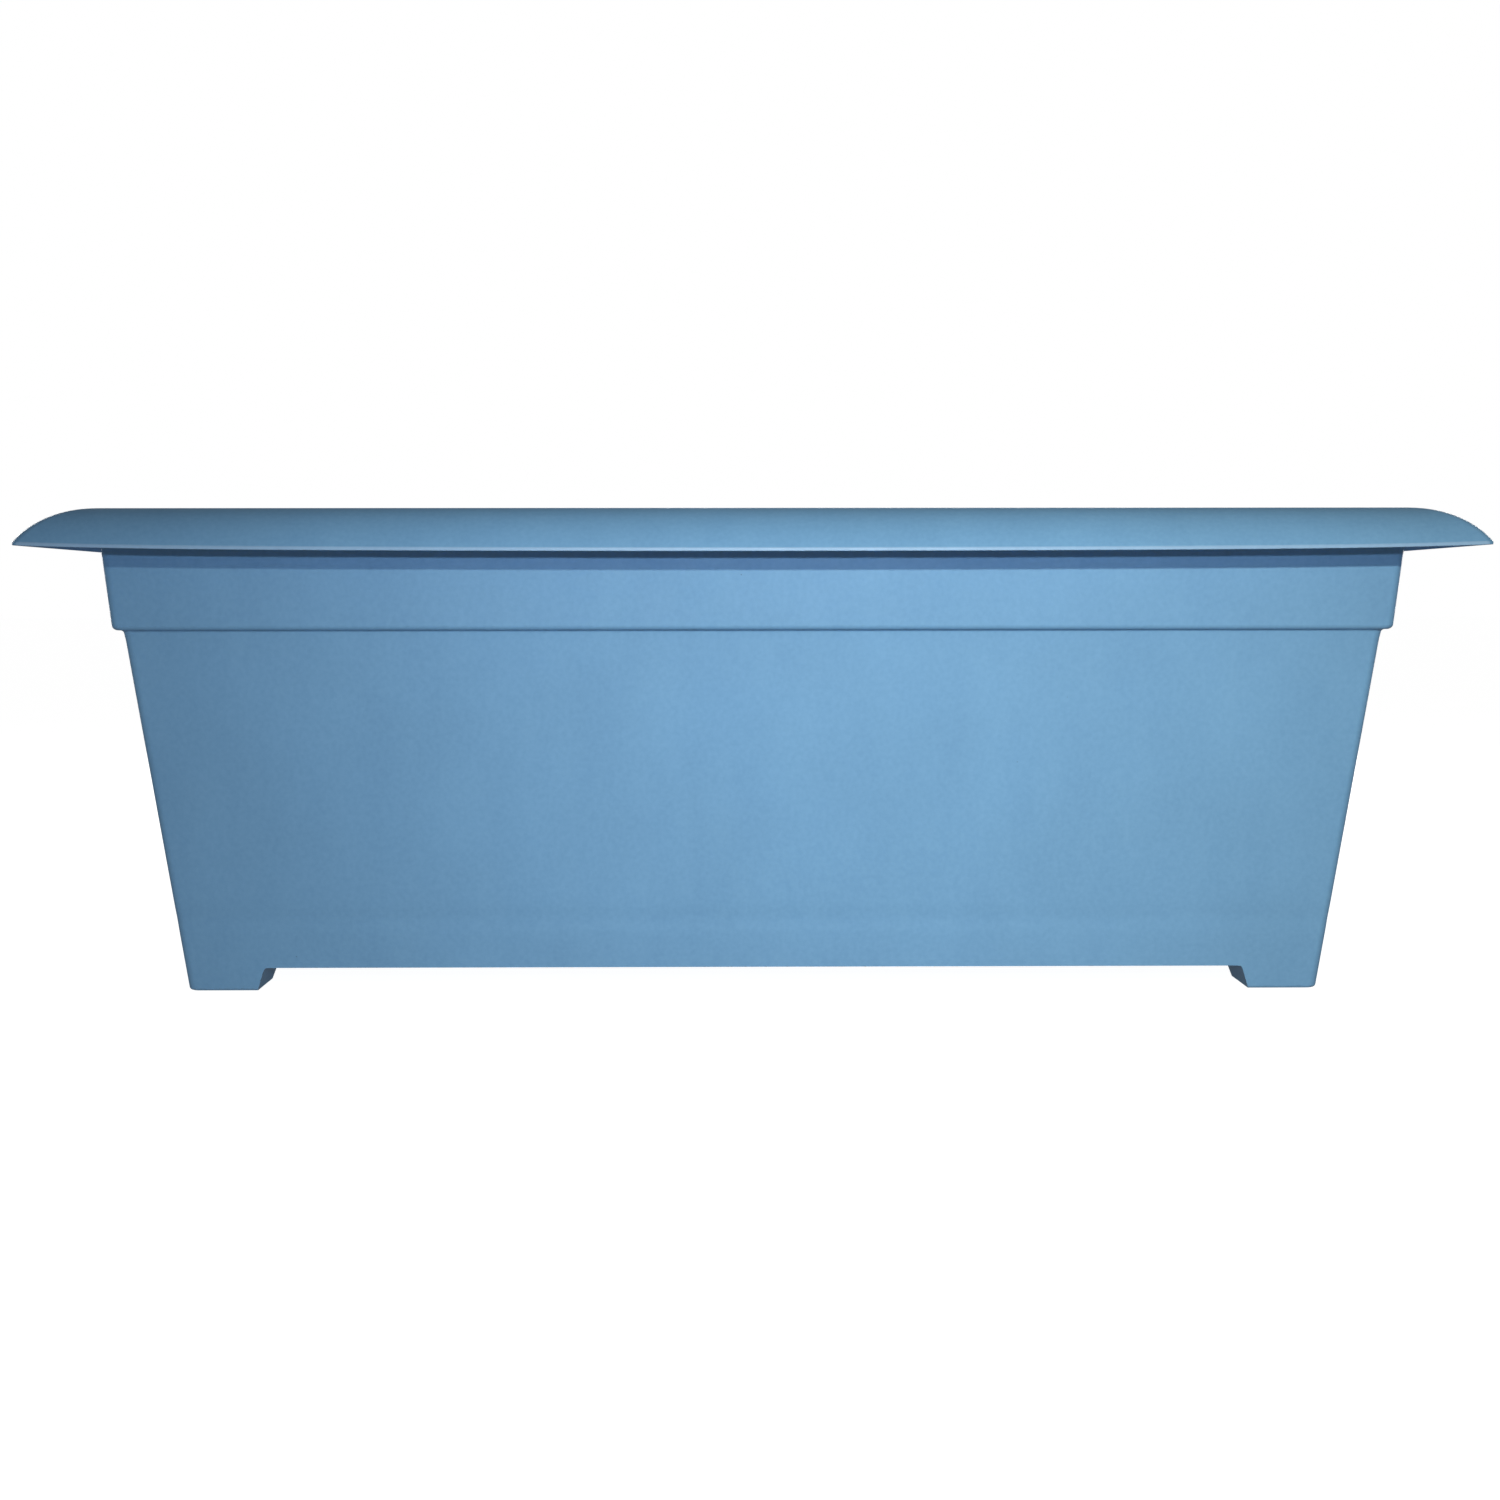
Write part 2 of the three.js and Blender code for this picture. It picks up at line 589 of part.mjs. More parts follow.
// The bung in a drain hole, pushed in from below, with a finger bar across its head.
function drainPlug() {
  const shank = DRAIN_RADIUS - PLUG_ROOM;
  const head = turned([[0, HEAD_TOP - 3], [HEAD_RADIUS - 1, HEAD_TOP - 3],
    [HEAD_RADIUS, HEAD_TOP - 2], [HEAD_RADIUS, HEAD_TOP], [shank, HEAD_TOP],
    [shank - 0.5, FLOOR_TOP + 3], [0, FLOOR_TOP + 3]]);
  const grip = block([-8, -1.5, HEAD_TOP - 6.5], [8, 1.5, HEAD_TOP - 2]);
  return join(head, grip);
}

function drainGasket() {
  const outer = HEAD_RADIUS - 0.5;
  const [z0, z1] = [HEAD_TOP + GAP, FOOT_HEIGHT - GAP];
  return turned([[DRAIN_RADIUS, z0], [outer, z0], [outer, z1], [DRAIN_RADIUS, z1]]);
}

// The bung in an overflow hole, with a grooved knob outside the wall.
function overflowPlug() {
  const shank = OVERFLOW_RADIUS - PLUG_ROOM;
  return turned([[0, -8], [shank - 0.6, -8], [shank, GAP], [7.5, GAP], [7.5, 2], [4, 3], [4, 4.5],
    [5.5, 5.5], [5.5, 7.5], [4.5, 8.5], [0, 8.5]], 20);
}

// ---- The assembly -------------------------------------------------------------------------------

const planter = new THREE.Group();

function add(name, shape, material, [x, y, z] = [0, 0, 0]) {
  const mesh = new THREE.Mesh(geometryOf(shape), material);
  mesh.name = name;
  mesh.position.set(x, y, z);
  planter.add(mesh);
}

const FILL_SPOT = [TUBE_X, TUBE_Y, 0];
const GAUGE_SPOT = [-TUBE_X, TUBE_Y, 0];

add("planter_box", planterBox(), BLUE);
add("platform", platform(), CHARCOAL);
add("fill_tube", fillTube(), CHARCOAL, FILL_SPOT);
add("fill_collar", fillCollar(), CHARCOAL, FILL_SPOT);
add("fill_lid", fillLid(), BLUE, FILL_SPOT);
add("lid_pin", lidPin(), STEEL, FILL_SPOT);
add("gauge_tube", gaugeTube(), CHARCOAL, GAUGE_SPOT);
add("gauge_guide", gaugeGuide(), CHARCOAL, GAUGE_SPOT);
add("gauge_window", gaugeWindow(), CLEAR, GAUGE_SPOT);
add("gauge_float", gaugeFloat(), FOAM, GAUGE_SPOT);
add("float_rod", floatRod(), FOAM, GAUGE_SPOT);
add("float_tip", floatTip(), SIGNAL_RED, GAUGE_SPOT);

for (const [end, side] of [["left", -1], ["right", 1]]) {
  add(`wick_cup_${end}`, wickCup(), CHARCOAL, [side * CUP_X, 0, 0]);
  add(`drain_plug_${end}`, drainPlug(), RUBBER, [side * DRAIN_X, 0, 0]);
  add(`drain_gasket_${end}`, drainGasket(), RUBBER, [side * DRAIN_X, 0, 0]);
  add(`overflow_plug_${end}`, atOverflow(overflowPlug(), side), RUBBER);
}

export default planter;
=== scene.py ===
import json
import math

import bmesh
import bpy
from mathutils import Matrix, Vector


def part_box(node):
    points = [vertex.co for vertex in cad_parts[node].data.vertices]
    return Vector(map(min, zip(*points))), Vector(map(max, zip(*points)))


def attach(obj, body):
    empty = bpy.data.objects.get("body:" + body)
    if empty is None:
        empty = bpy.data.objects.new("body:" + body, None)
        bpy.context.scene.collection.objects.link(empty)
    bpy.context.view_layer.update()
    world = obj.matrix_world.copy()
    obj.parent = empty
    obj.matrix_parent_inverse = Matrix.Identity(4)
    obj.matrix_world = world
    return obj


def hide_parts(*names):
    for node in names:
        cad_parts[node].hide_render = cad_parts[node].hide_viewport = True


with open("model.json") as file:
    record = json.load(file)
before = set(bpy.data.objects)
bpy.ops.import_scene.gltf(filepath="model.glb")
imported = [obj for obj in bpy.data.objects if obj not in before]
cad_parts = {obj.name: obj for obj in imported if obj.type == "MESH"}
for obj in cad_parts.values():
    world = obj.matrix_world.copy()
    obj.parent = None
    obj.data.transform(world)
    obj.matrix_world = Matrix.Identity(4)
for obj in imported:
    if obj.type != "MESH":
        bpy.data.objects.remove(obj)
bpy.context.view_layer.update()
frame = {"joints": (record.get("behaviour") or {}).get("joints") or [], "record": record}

MM = 0.001

# ---- Sizes that the pieces share ----------------------------------------------------------------

box_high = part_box("planter_box")[1]
HALF_LENGTH = box_high.x
HALF_WIDTH = box_high.y
CREST = box_high.z

WALL = 2.5 * MM
GAP = 0.3 * MM  # between pieces that touch

LIP_REACH = 33 * MM
LIP_RADIUS = 38.5 * MM
LIP_SWEEP = math.radians(57)
LIP_DROOP = 3 * MM
BAND_BOTTOM = 185 * MM
BAND_TOP = 225 * MM
BAND_TAPER = 3.8 * MM
STEP = 4.5 * MM
END_DRAFT = math.radians(7.4)
SIDE_DRAFT = math.radians(7)
CORNER_RADIUS = 4.5 * MM

FOOT_HEIGHT = 12 * MM
FOOT_LENGTH = 35.4 * MM
FOOT_DEPTH = 37.4 * MM
FOOT_FLARE = 4 * MM
FLOOR_TOP = FOOT_HEIGHT + WALL
LEDGE = 3.5 * MM
LEDGE_TOP = 36 * MM

OVERFLOW_LEVEL = 29.5 * MM
OVERFLOW_RADIUS = 4 * MM
DRAIN_RADIUS = 7 * MM


def middle(node):
    """The middle of a CAD node's box, on the ground."""
    low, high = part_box(node)
    return Vector(((low.x + high.x) / 2, (low.y + high.y) / 2, 0))


# ---- Meshes -------------------------------------------------------------------------------------

WELD = 0.002 * MM  # points closer than this are one
SHARP = math.radians(38)
ROUND_ENOUGH = math.radians(176)  # a corner flatter than this isn't rounded


def link(name, mesh):
    piece = bpy.data.objects.new(name, mesh)
    bpy.context.scene.collection.objects.link(piece)
    return piece


def from_faces(name, points, faces):
    """A piece from points and faces, with its faces turned outwards."""
    mesh = bpy.data.meshes.new(name)
    mesh.from_pydata(points, [], faces)
    tidy = bmesh.new()
    tidy.from_mesh(mesh)
    bmesh.ops.recalc_face_normals(tidy, faces=tidy.faces)
    tidy.to_mesh(mesh)
    tidy.free()
    return link(name, mesh)


def settle(piece):
    """Applies the piece's modifiers."""
    bpy.context.view_layer.update()
    shown = piece.evaluated_get(bpy.context.evaluated_depsgraph_get())
    mesh = bpy.data.meshes.new_from_object(shown)
    piece.modifiers.clear()
    old = piece.data
    piece.data = mesh
    bpy.data.meshes.remove(old)
    return piece


def combine(piece, others, operation):
    """Cuts the other pieces out of this one, or joins them to it, and deletes them."""
    for other in others:
        boolean = piece.modifiers.new(operation, "BOOLEAN")
        boolean.operation = operation
        boolean.solver = "EXACT"
        boolean.object = other
    settle(piece)
    for other in others:
        mesh = other.data
        bpy.data.objects.remove(other)
        bpy.data.meshes.remove(mesh)
    return piece


def soften(piece, width, segments=3):
    """Rounds every sharp edge to the given width, if any, and smooths the rest."""
    weld = bmesh.new()
    weld.from_mesh(piece.data)
    bmesh.ops.remove_doubles(weld, verts=weld.verts, dist=WELD)
    bmesh.ops.dissolve_degenerate(weld, edges=weld.edges, dist=WELD)
    weld.to_mesh(piece.data)
    weld.free()
    if width:
        bevel = piece.modifiers.new("edges", "BEVEL")
        bevel.width = width
        bevel.segments = segments
        bevel.limit_method = "ANGLE"
        bevel.angle_limit = SHARP
        bevel.miter_outer = "MITER_ARC"
    settle(piece)
    piece.data.shade_smooth()
    normals = piece.modifiers.new("normals", "WEIGHTED_NORMAL")
    normals.mode = "FACE_AREA_WITH_ANGLE"
    normals.weight = 90
    normals.keep_sharp = False
    return settle(piece)


def rounded(points, radii, closed=False, steps=5):
    """An outline with its corners turned into arcs: of one radius, or of one for each point."""
    points = [Vector(p) for p in points]
    if not isinstance(radii, (list, tuple)):
        radii = [radii] * len(points)
    outline = []
    for i, corner in enumerate(points):
        at_end = not closed and i in (0, len(points) - 1)
        if at_end or radii[i] == 0:
            outline.append(corner)
            continue
        before = points[i - 1] - corner
        after = points[(i + 1) % len(points)] - corner
        angle = before.angle(after)
        if angle > ROUND_ENOUGH:
            outline.append(corner)
            continue
        cut = min(radii[i] / math.tan(angle / 2), 0.49 * before.length, 0.49 * after.length)
        radius = cut * math.tan(angle / 2)
        middle_way = (before.normalized() + after.normalized()).normalized()
        centre = corner + middle_way * (radius / math.sin(angle / 2))
        start = corner + before.normalized() * cut - centre
        end = corner + after.normalized() * cut - centre
        sweep = math.pi - angle
        for k in range(steps + 1):
            a = sweep * k / steps
            spoke = start * math.sin(sweep - a) + end * math.sin(a)
            outline.append(centre + spoke / math.sin(sweep))
    return outline


def turned(name, profile, segments=72):
    """A solid of revolution about Z.

    The profile is (radius, z) points, from axis to axis or, if it starts off the axis, closed.
    """
    on_axis = 1e-9
    closed = profile[0][0] > on_axis
    points, rings = [], []
    for radius, z in profile:
        if radius < on_axis:
            rings.append([len(points)] * segments)
            points.append((0, 0, z))
            continue
        rings.append(list(range(len(points), len(points) + segments)))
        for i in range(segments):
            a = 2 * math.pi * i / segments
            points.append((radius * math.cos(a), radius * math.sin(a), z))
    faces = []
    pairs = list(zip(rings, rings[1:] + rings[:1]))
    for low, high in pairs if closed else pairs[:-1]:
        for i in range(segments):
            j = (i + 1) % segments
            corners = dict.fromkeys((low[i], low[j], high[j], high[i]))
            if len(corners) > 2:
                faces.append(list(corners))
    return from_faces(name, points, faces)


def prism(name, outline, axis, start, end):
    """An outline extruded along X, Y or Z. It lies in the other two axes, in X, Y, Z order."""
    order = {"x": (2, 0, 1), "y": (0, 2, 1), "z": (0, 1, 2)}[axis]
    count = len(outline)
    points = []
    for level in (start, end):
        for a, b in outline:
            flat = (a, b, level)
            points.append(tuple(flat[k] for k in order))
    faces = [list(range(count)), list(range(2 * count - 1, count - 1, -1))]
    for i in range(count):
        j = (i + 1) % count
        faces.append([i, j, count + j, count + i])
    return from_faces(name, points, faces)


def rectangle(x0, y0, x1, y1, radius=0, steps=5):
    corners = [(x0, y0), (x1, y0), (x1, y1), (x0, y1)]
    return rounded(corners, radius, closed=True, steps=steps)


def place(piece, matrix):
    """Moves a piece's mesh, so that its object stays at the origin."""
    piece.data.transform(matrix)
    return piece


def moved(piece, x=0.0, y=0.0, z=0.0):
    return place(piece, Matrix.Translation((x, y, z)))


# ---- The planter box ----------------------------------------------------------------------------

BAND_TOP_X = HALF_LENGTH - LIP_REACH
BAND_TOP_Y = HALF_WIDTH - LIP_REACH
BODY_TOP_X = BAND_TOP_X - BAND_TAPER - STEP
BODY_TOP_Y = BAND_TOP_Y - BAND_TAPER - STEP
CREST_INSET = LIP_RADIUS * math.sin(LIP_SWEEP)
CORNER_STEPS = 7
LONG_STEPS = 72
SHORT_STEPS = 28
ARCS = 5  # steps of a quarter turn in the wall's section


def on_body(z, inset=0.0):
    drop = BAND_BOTTOM - z
    return (
        BODY_TOP_X - drop * math.tan(END_DRAFT) - inset,
        BODY_TOP_Y - drop * math.tan(SIDE_DRAFT) - inset,
        z,
        0.0,
    )


def on_band(z, inset=0.0):
    taper = BAND_TAPER * max(0.0, BAND_TOP - z) / (BAND_TOP - BAND_BOTTOM) + inset
    return BAND_TOP_X - taper, BAND_TOP_Y - taper, z, 0.0


def on_lip(radius, angle):
    """A ring on the curved rim, by radius from its section's centre and angle from the crest."""
    out = radius * math.sin(angle) - CREST_INSET
    z = CREST - LIP_RADIUS + radius * math.cos(angle)
    sag = LIP_DROOP * min(1.0, angle / LIP_SWEEP) ** 2
    return HALF_LENGTH + out, HALF_WIDTH + out, z, sag


def ring(half_x, half_y, z, sag, radius):
    """A rounded rectangle at one level, whose long sides sag towards mid length."""
    x, y = half_x - radius, half_y - radius
    points = []
    corners = [(1, -1, -90), (1, 1, 0), (-1, 1, 90), (-1, -1, 180)]
    for sx, sy, start in corners:
        for i in range(CORNER_STEPS + 1):
            a = math.radians(start + 90 * i / CORNER_STEPS)
            points.append((sx * x + radius * math.cos(a), sy * y + radius * math.sin(a)))
        steps = LONG_STEPS if sx == sy else SHORT_STEPS
        for i in range(1, steps):
            way = 1 - 2 * i / steps
            along_x = (sx * x * way, sy * half_y)
            along_y = (sx * half_x, sy * y * way)
            points.append(along_x if sx == sy else along_y)
    level = []
    for px, py in points:
        u = px / half_x
        droop = 1 - 0.5 * u**2 - 0.5 * u**8
        level.append((px, py, z - sag * droop))
    return level


def sunk(z):
    """A ring of the body, its long sides drawn in where the ledge inside thickens the wall."""
    centre, half, depth = LEDGE_TOP + 1.4 * MM, 8 * MM, 0.36 * MM
    away = min(1.0, abs(z - centre) / half)
    x, y, z, sag = on_body(z)
    return x, y - depth * 0.5 * (1 + math.cos(math.pi * away)), z, sag


def shell_profile():
    """Rings from the underside, up the outside, round the rim's edge and up to its crest."""
    sole = 1.6 * MM
    edge = 2.3 * MM
    hollow = 1.6 * MM
    rings = []
    for k in range(ARCS + 1):
        a = math.pi / 2 * k / ARCS
        rings.append(on_body(sole * (1 - math.cos(a)), sole * (1 - math.sin(a))))
    rings += [sunk(z * MM) for z in range(12, 51, 2)]  # fine, past the ledge
    rings += [on_body(z * MM) for z in range(60, 181, 20)]  # coarse, up the plain wall

    # The step under the band: a tight hollow corner, then the band's rounded lower edge.
    for k in range(ARCS + 1):
        a = math.pi / 2 * k / ARCS
        body = on_body(BAND_BOTTOM, -hollow * (1 - math.cos(a)))
        rings.append((body[0], body[1], BAND_BOTTOM - hollow * (1 - math.sin(a)), 0.0))
    for k in range(ARCS + 1):
        a = math.pi / 2 * k / ARCS
        rings.append(on_band(BAND_BOTTOM + edge * (1 - math.cos(a)), edge * (1 - math.sin(a))))
    rings += [on_band(z * MM) for z in (195, 205, 215, 225, 232)]

    # The hollow underside of the rim, its edge and its top.
    under = LIP_RADIUS - WALL
    root = on_band(CREST - 2 * WALL)
    fillet = 3 * MM
    for k in range(ARCS + 1):
        a = math.pi / 2 * k / ARCS
        out = fillet * (1 - math.cos(a))
        drop = fillet * (1 - math.sin(a))
        rings.append((root[0] + out, root[1] + out, CREST - WALL - drop, 0.0))
    steps = 14
    first = math.radians(6)
    rings += [on_lip(under, first + (LIP_SWEEP - first) * k / steps) for k in range(steps + 1)]
    rings += rim_edge()
    steps = 18
    rings += [on_lip(LIP_RADIUS, LIP_SWEEP * (1 - k / steps)) for k in range(1, steps + 1)]
    return rings


def rim_edge():
    """Rings round the rim's edge, which is cut off upright, with soft corners."""
    top = on_lip(LIP_RADIUS, LIP_SWEEP)[2]
    low = top - WALL * math.cos(LIP_SWEEP)
    back = -WALL * math.sin(LIP_SWEEP)
    above = on_lip(LIP_RADIUS, 0.96 * LIP_SWEEP)
    corners = [(back, low), (0, low), (0, top), (above[0] - HALF_LENGTH, above[2])]
    edge = rounded(corners, [0, 0.35 * MM, 0.5 * MM, 0], steps=4)
    return [(HALF_LENGTH + out, HALF_WIDTH + out, z, LIP_DROOP) for out, z in edge[1:-1]]


def inner_profile():
    """Rings from the crest, round into the inner wall and down to the floor."""
    turn = LIP_REACH + WALL - CREST_INSET
    mouth = on_band(CREST - turn, WALL)
    rings = []
    for k in range(ARCS + 1):
        a = math.pi / 2 * k / ARCS
        out = turn * (1 - math.sin(a))
        rings.append((mouth[0] + out, mouth[1] + out, mouth[2] + turn * math.cos(a), 0.0))
    rings += [on_band(z * MM, WALL) for z in (225, 212, 200, 189)]
    rings += [on_band(187 * MM, WALL + 0.4 * MM), on_body(184.6 * MM, WALL - 0.5 * MM)]
    rings += [on_body(183.4 * MM, WALL)]
    rings += [on_body(z * MM, WALL) for z in (160, 120, 80, 50, 38)]

    # The ledge's rounded front edge, its vertical face and the floor's hollow corner.
    edge = 0.8 * MM
    shelf = on_body(LEDGE_TOP, WALL + LEDGE)
    rings += [on_body(LEDGE_TOP + 0.6 * MM, WALL), on_body(LEDGE_TOP, WALL + 0.6 * MM)]
    for k in range(ARCS + 1):
        a = math.pi / 2 * k / ARCS
        out = edge * (1 - math.sin(a))
        rings.append((shelf[0] + out, shelf[1] + out, LEDGE_TOP - edge * (1 - math.cos(a)), 0.0))
    foot = 1.5 * MM
    for k in range(ARCS + 1):
        a = math.pi / 2 * k / ARCS
        inset = foot * (1 - math.cos(a))
        z = FLOOR_TOP + foot * (1 - math.sin(a))
        rings.append((shelf[0] - inset, shelf[1] - inset, z, 0.0))
    return rings


def loft(name, outer, inner):
    """A closed shell through two runs of rings, with a flat face at each end."""
    levels = [ring(*spec, CORNER_RADIUS) for spec in outer]
    levels += [ring(*spec, CORNER_RADIUS - WALL) for spec in inner]
    count = len(levels[0])
    points = [p for level in levels for p in level]
    faces = [list(range(count)), list(range(len(points) - 1, len(points) - count - 1, -1))]
    for r in range(0, len(points) - count, count):
        for i in range(count):
            j = (i + 1) % count
            faces.append([r + i, r + j, r + count + j, r + count + i])
    return from_faces(name, points, faces)


def foot_passages():
    """What is cut away below the floor to leave four feet, with round upper corners."""
    ground = on_body(0)
    reach = HALF_LENGTH
    below = -4 * MM
    lean = FOOT_FLARE / FOOT_HEIGHT
    cutters = []
    for axis, half in (("x", ground[1] - FOOT_DEPTH), ("y", ground[0] - FOOT_LENGTH)):
        low = half - lean * below
        high = half - lean * FOOT_HEIGHT
        corners = [(-low, below), (low, below), (high, FOOT_HEIGHT), (-high, FOOT_HEIGHT)]
        outline = rounded(corners, [0, 0, 2 * MM, 2 * MM], closed=True)
        cutters.append(prism("passage", outline, axis, -reach, reach))
    return cutters


def foot_hollow(sx, sy):
    """The hollow of one foot, open to the inside."""
    ground = on_body(0)
    top = on_body(LEDGE_TOP, WALL + LEDGE + GAP)
    low = (ground[0] - FOOT_LENGTH - FOOT_FLARE + WALL, ground[1] - FOOT_DEPTH - FOOT_FLARE + WALL)
    lean = 3 * MM
    points, faces = [], []
    levels = [(WALL, lean), (FLOOR_TOP + 1 * MM, 0)]
    for z, inset in levels:
        outline = rectangle(low[0] + inset, low[1] + inset, top[0] - inset, top[1] - inset, 3 * MM)
        points += [(sx * x, sy * y, z) for x, y in outline]
    count = len(points) // 2
    faces = [list(range(count)), list(range(count, 2 * count))]
    faces += [[i, (i + 1) % count, count + (i + 1) % count, count + i] for i in range(count)]
    return from_faces("hollow", points, faces)


def through_end(piece, side):
    """Puts a piece modelled about Z on the overflow hole of one end, pointing straight out."""
    half_x = on_body(OVERFLOW_LEVEL)[0]
    turn = Matrix.Rotation(side * (math.pi / 2 + END_DRAFT), 4, "Y")
    return place(piece, Matrix.Translation((side * half_x, 0, OVERFLOW_LEVEL)) @ turn)


def planter_box():
    box = loft("planter_shell", shell_profile(), inner_profile())
    cutters = foot_passages()
    cutters += [foot_hollow(sx, sy) for sx in (-1, 1) for sy in (-1, 1)]
    for end in ("left", "right"):
        drain = [(0, 0), (DRAIN_RADIUS, 0), (DRAIN_RADIUS, LEDGE_TOP), (0, LEDGE_TOP)]
        spot = middle(f"drain_plug_{end}")
        cutters.append(moved(turned("drain", drain, 48), spot.x, spot.y))
    inside, outside = -12 * MM, 4 * MM
    hole = [(0, inside), (OVERFLOW_RADIUS, inside), (OVERFLOW_RADIUS, outside), (0, outside)]
    for side in (-1, 1):
        cutters.append(through_end(turned("overflow", hole, 40), side))
    combine(box, cutters, "DIFFERENCE")
    return soften(box, 0.7 * MM)


# ---- The platform and its wick cups -------------------------------------------------------------

deck_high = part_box("platform")[1]
DECK_BOTTOM = LEDGE_TOP + GAP
DECK_TOP = DECK_BOTTOM + WALL
SOCKET_HEIGHT = 5 * MM
SOCKET_PLAY = 0.6 * MM
CUP_HOLE = 31 * MM
FILL_RADIUS = 16 * MM
GAUGE_RADIUS = 12 * MM
RIB_Y = 41 * MM
FILL_SPOT = middle("fill_tube")
GAUGE_SPOT = middle("gauge_tube")
CUP_SPOTS = [middle("wick_cup_left"), middle("wick_cup_right")]
DRAIN_X = middle("drain_plug_right").x
LEG_X = 70 * MM
LEG_SPOTS = [Vector((0, 0))]
LEG_SPOTS += [Vector((x, y)) for x in (-LEG_X, LEG_X) for y in (-RIB_Y, RIB_Y)]
LEG_SPOTS += [Vector((x, -RIB_Y)) for x in (-DRAIN_X, DRAIN_X)]


def circle(x, y, radius):
    segments = 64
    turns = [2 * math.pi / segments * i for i in range(segments)]
    return [(x + radius * math.cos(a), y + radius * math.sin(a)) for a in turns]


def plate(name, outlines, low, high, edge):
    """A flat plate with rounded edges: the first outline is its own, the rest are its holes."""
    curve = bpy.data.curves.new(name, "CURVE")
    curve.dimensions = "2D"
    curve.fill_mode = "BOTH"
    curve.extrude = (high - low) / 2 - edge
    curve.bevel_depth = edge
    curve.bevel_resolution = 1
    curve.offset = -edge
    for outline in outlines:
        spline = curve.splines.new("POLY")
        spline.points.add(len(outline) - 1)
        for point, (x, y) in zip(spline.points, outline):
            point.co = (x, y, 0, 1)
        spline.use_cyclic_u = True
    holder = bpy.data.objects.new(name, curve)
    bpy.context.scene.collection.objects.link(holder)
    bpy.context.view_layer.update()
    shown = holder.evaluated_get(bpy.context.evaluated_depsgraph_get())
    mesh = bpy.data.meshes.new_from_object(shown)
    bpy.data.objects.remove(holder)
    bpy.data.curves.remove(curve)
    mesh.transform(Matrix.Translation((0, 0, (low + high) / 2)))
    weld = bmesh.new()
    weld.from_mesh(mesh)
    bmesh.ops.remove_doubles(weld, verts=weld.verts, dist=2 * WELD)
    bmesh.ops.recalc_face_normals(weld, faces=weld.faces)
    weld.to_mesh(mesh)
    weld.free()
    return link(name, mesh)


def slot_outlines():
    """The drain slots' grid, apart from where something else stands."""
    margin = 14 * MM
    keep_out = [(spot, CUP_HOLE + margin) for spot in CUP_SPOTS]
    keep_out += [(FILL_SPOT, FILL_RADIUS + margin), (GAUGE_SPOT, GAUGE_RADIUS + margin)]
    keep_out += [(spot, 9 * MM) for spot in LEG_SPOTS]
    pitch_x, pitch_y = 28 * MM, 16 * MM
    half_x, half_y = 10 * MM, 2 * MM
    ends = 1.95 * MM
    straight = 6 * MM  # half the length of the line that a slot is taken as
    slots = []
    for column in range(-9, 10):
        for row in range(-4, 5):
            x, y = column * pitch_x, row * pitch_y
            gaps = [
                math.hypot(max(abs(x - spot.x) - straight, 0), y - spot.y) - reach
                for spot, reach in keep_out
            ]
            if min(gaps) >= 0:
                sides = (x - half_x, y - half_y, x + half_x, y + half_y)
                slots.append(rectangle(*sides, ends, steps=4))
    return slots


def platform():
    half_x, half_y = deck_high.x, deck_high.y
    in_x, in_y = half_x - 2 * MM, half_y - 2 * MM
    around = rectangle(-half_x, -half_y, half_x, half_y, 3 * MM)
    within = rectangle(-in_x, -in_y, in_x, in_y, 1.2 * MM)
    tubes = ((FILL_SPOT, FILL_RADIUS), (GAUGE_SPOT, GAUGE_RADIUS))
    holes = [circle(spot.x, spot.y, CUP_HOLE) for spot in CUP_SPOTS]
    holes += [circle(spot.x, spot.y, radius + SOCKET_PLAY) for spot, radius in tubes]
    outlines = [around, *holes, *slot_outlines()]
    deck = plate("soil_platform", outlines, DECK_BOTTOM, DECK_TOP, 0.35 * MM)
    parts = [plate("upstand", [around, within], DECK_BOTTOM, DECK_TOP + 4 * MM, 0.4 * MM)]

    for spot, radius in tubes:
        inner, outer = radius + SOCKET_PLAY, radius + 3 * MM
        low, high = DECK_TOP - 1 * MM, DECK_TOP + SOCKET_HEIGHT
        corners = [(inner, low), (outer, low), (outer, high), (inner, high)]
        socket = turned("socket", rounded(corners, 0.6 * MM, True), 64)
        parts.append(moved(socket, spot.x, spot.y))

    root = DECK_BOTTOM + 1 * MM
    foot = FLOOR_TOP + GAP
    hollow, tip, thick = 3.6 * MM, 6 * MM, 6.6 * MM
    leg = [(0, root - 3 * MM), (hollow, root - 3 * MM), (hollow, foot)]
    leg += [(tip, foot), (thick, root), (0, root)]
    leg = rounded(leg, [0, 0.8 * MM, 0.4 * MM, 0.6 * MM, 0, 0])
    parts += [moved(turned("leg", leg, 40), spot.x, spot.y) for spot in LEG_SPOTS]

    low, high = DECK_BOTTOM - 8 * MM, DECK_BOTTOM + 1 * MM
    short = FILL_SPOT.x - FILL_RADIUS - 6 * MM  # at the back, to clear the tubes
    for y, reach in ((-RIB_Y, half_x - 12 * MM), (RIB_Y, short)):
        corners = [(-reach, low), (reach, low), (reach, high), (-reach, high)]
        outline = rounded(corners, [3 * MM, 3 * MM, 0, 0], True)
        parts.append(prism("rib", outline, "y", y - 1 * MM, y + 1 * MM))
    combine(deck, parts, "UNION")
    return soften(deck, 0)


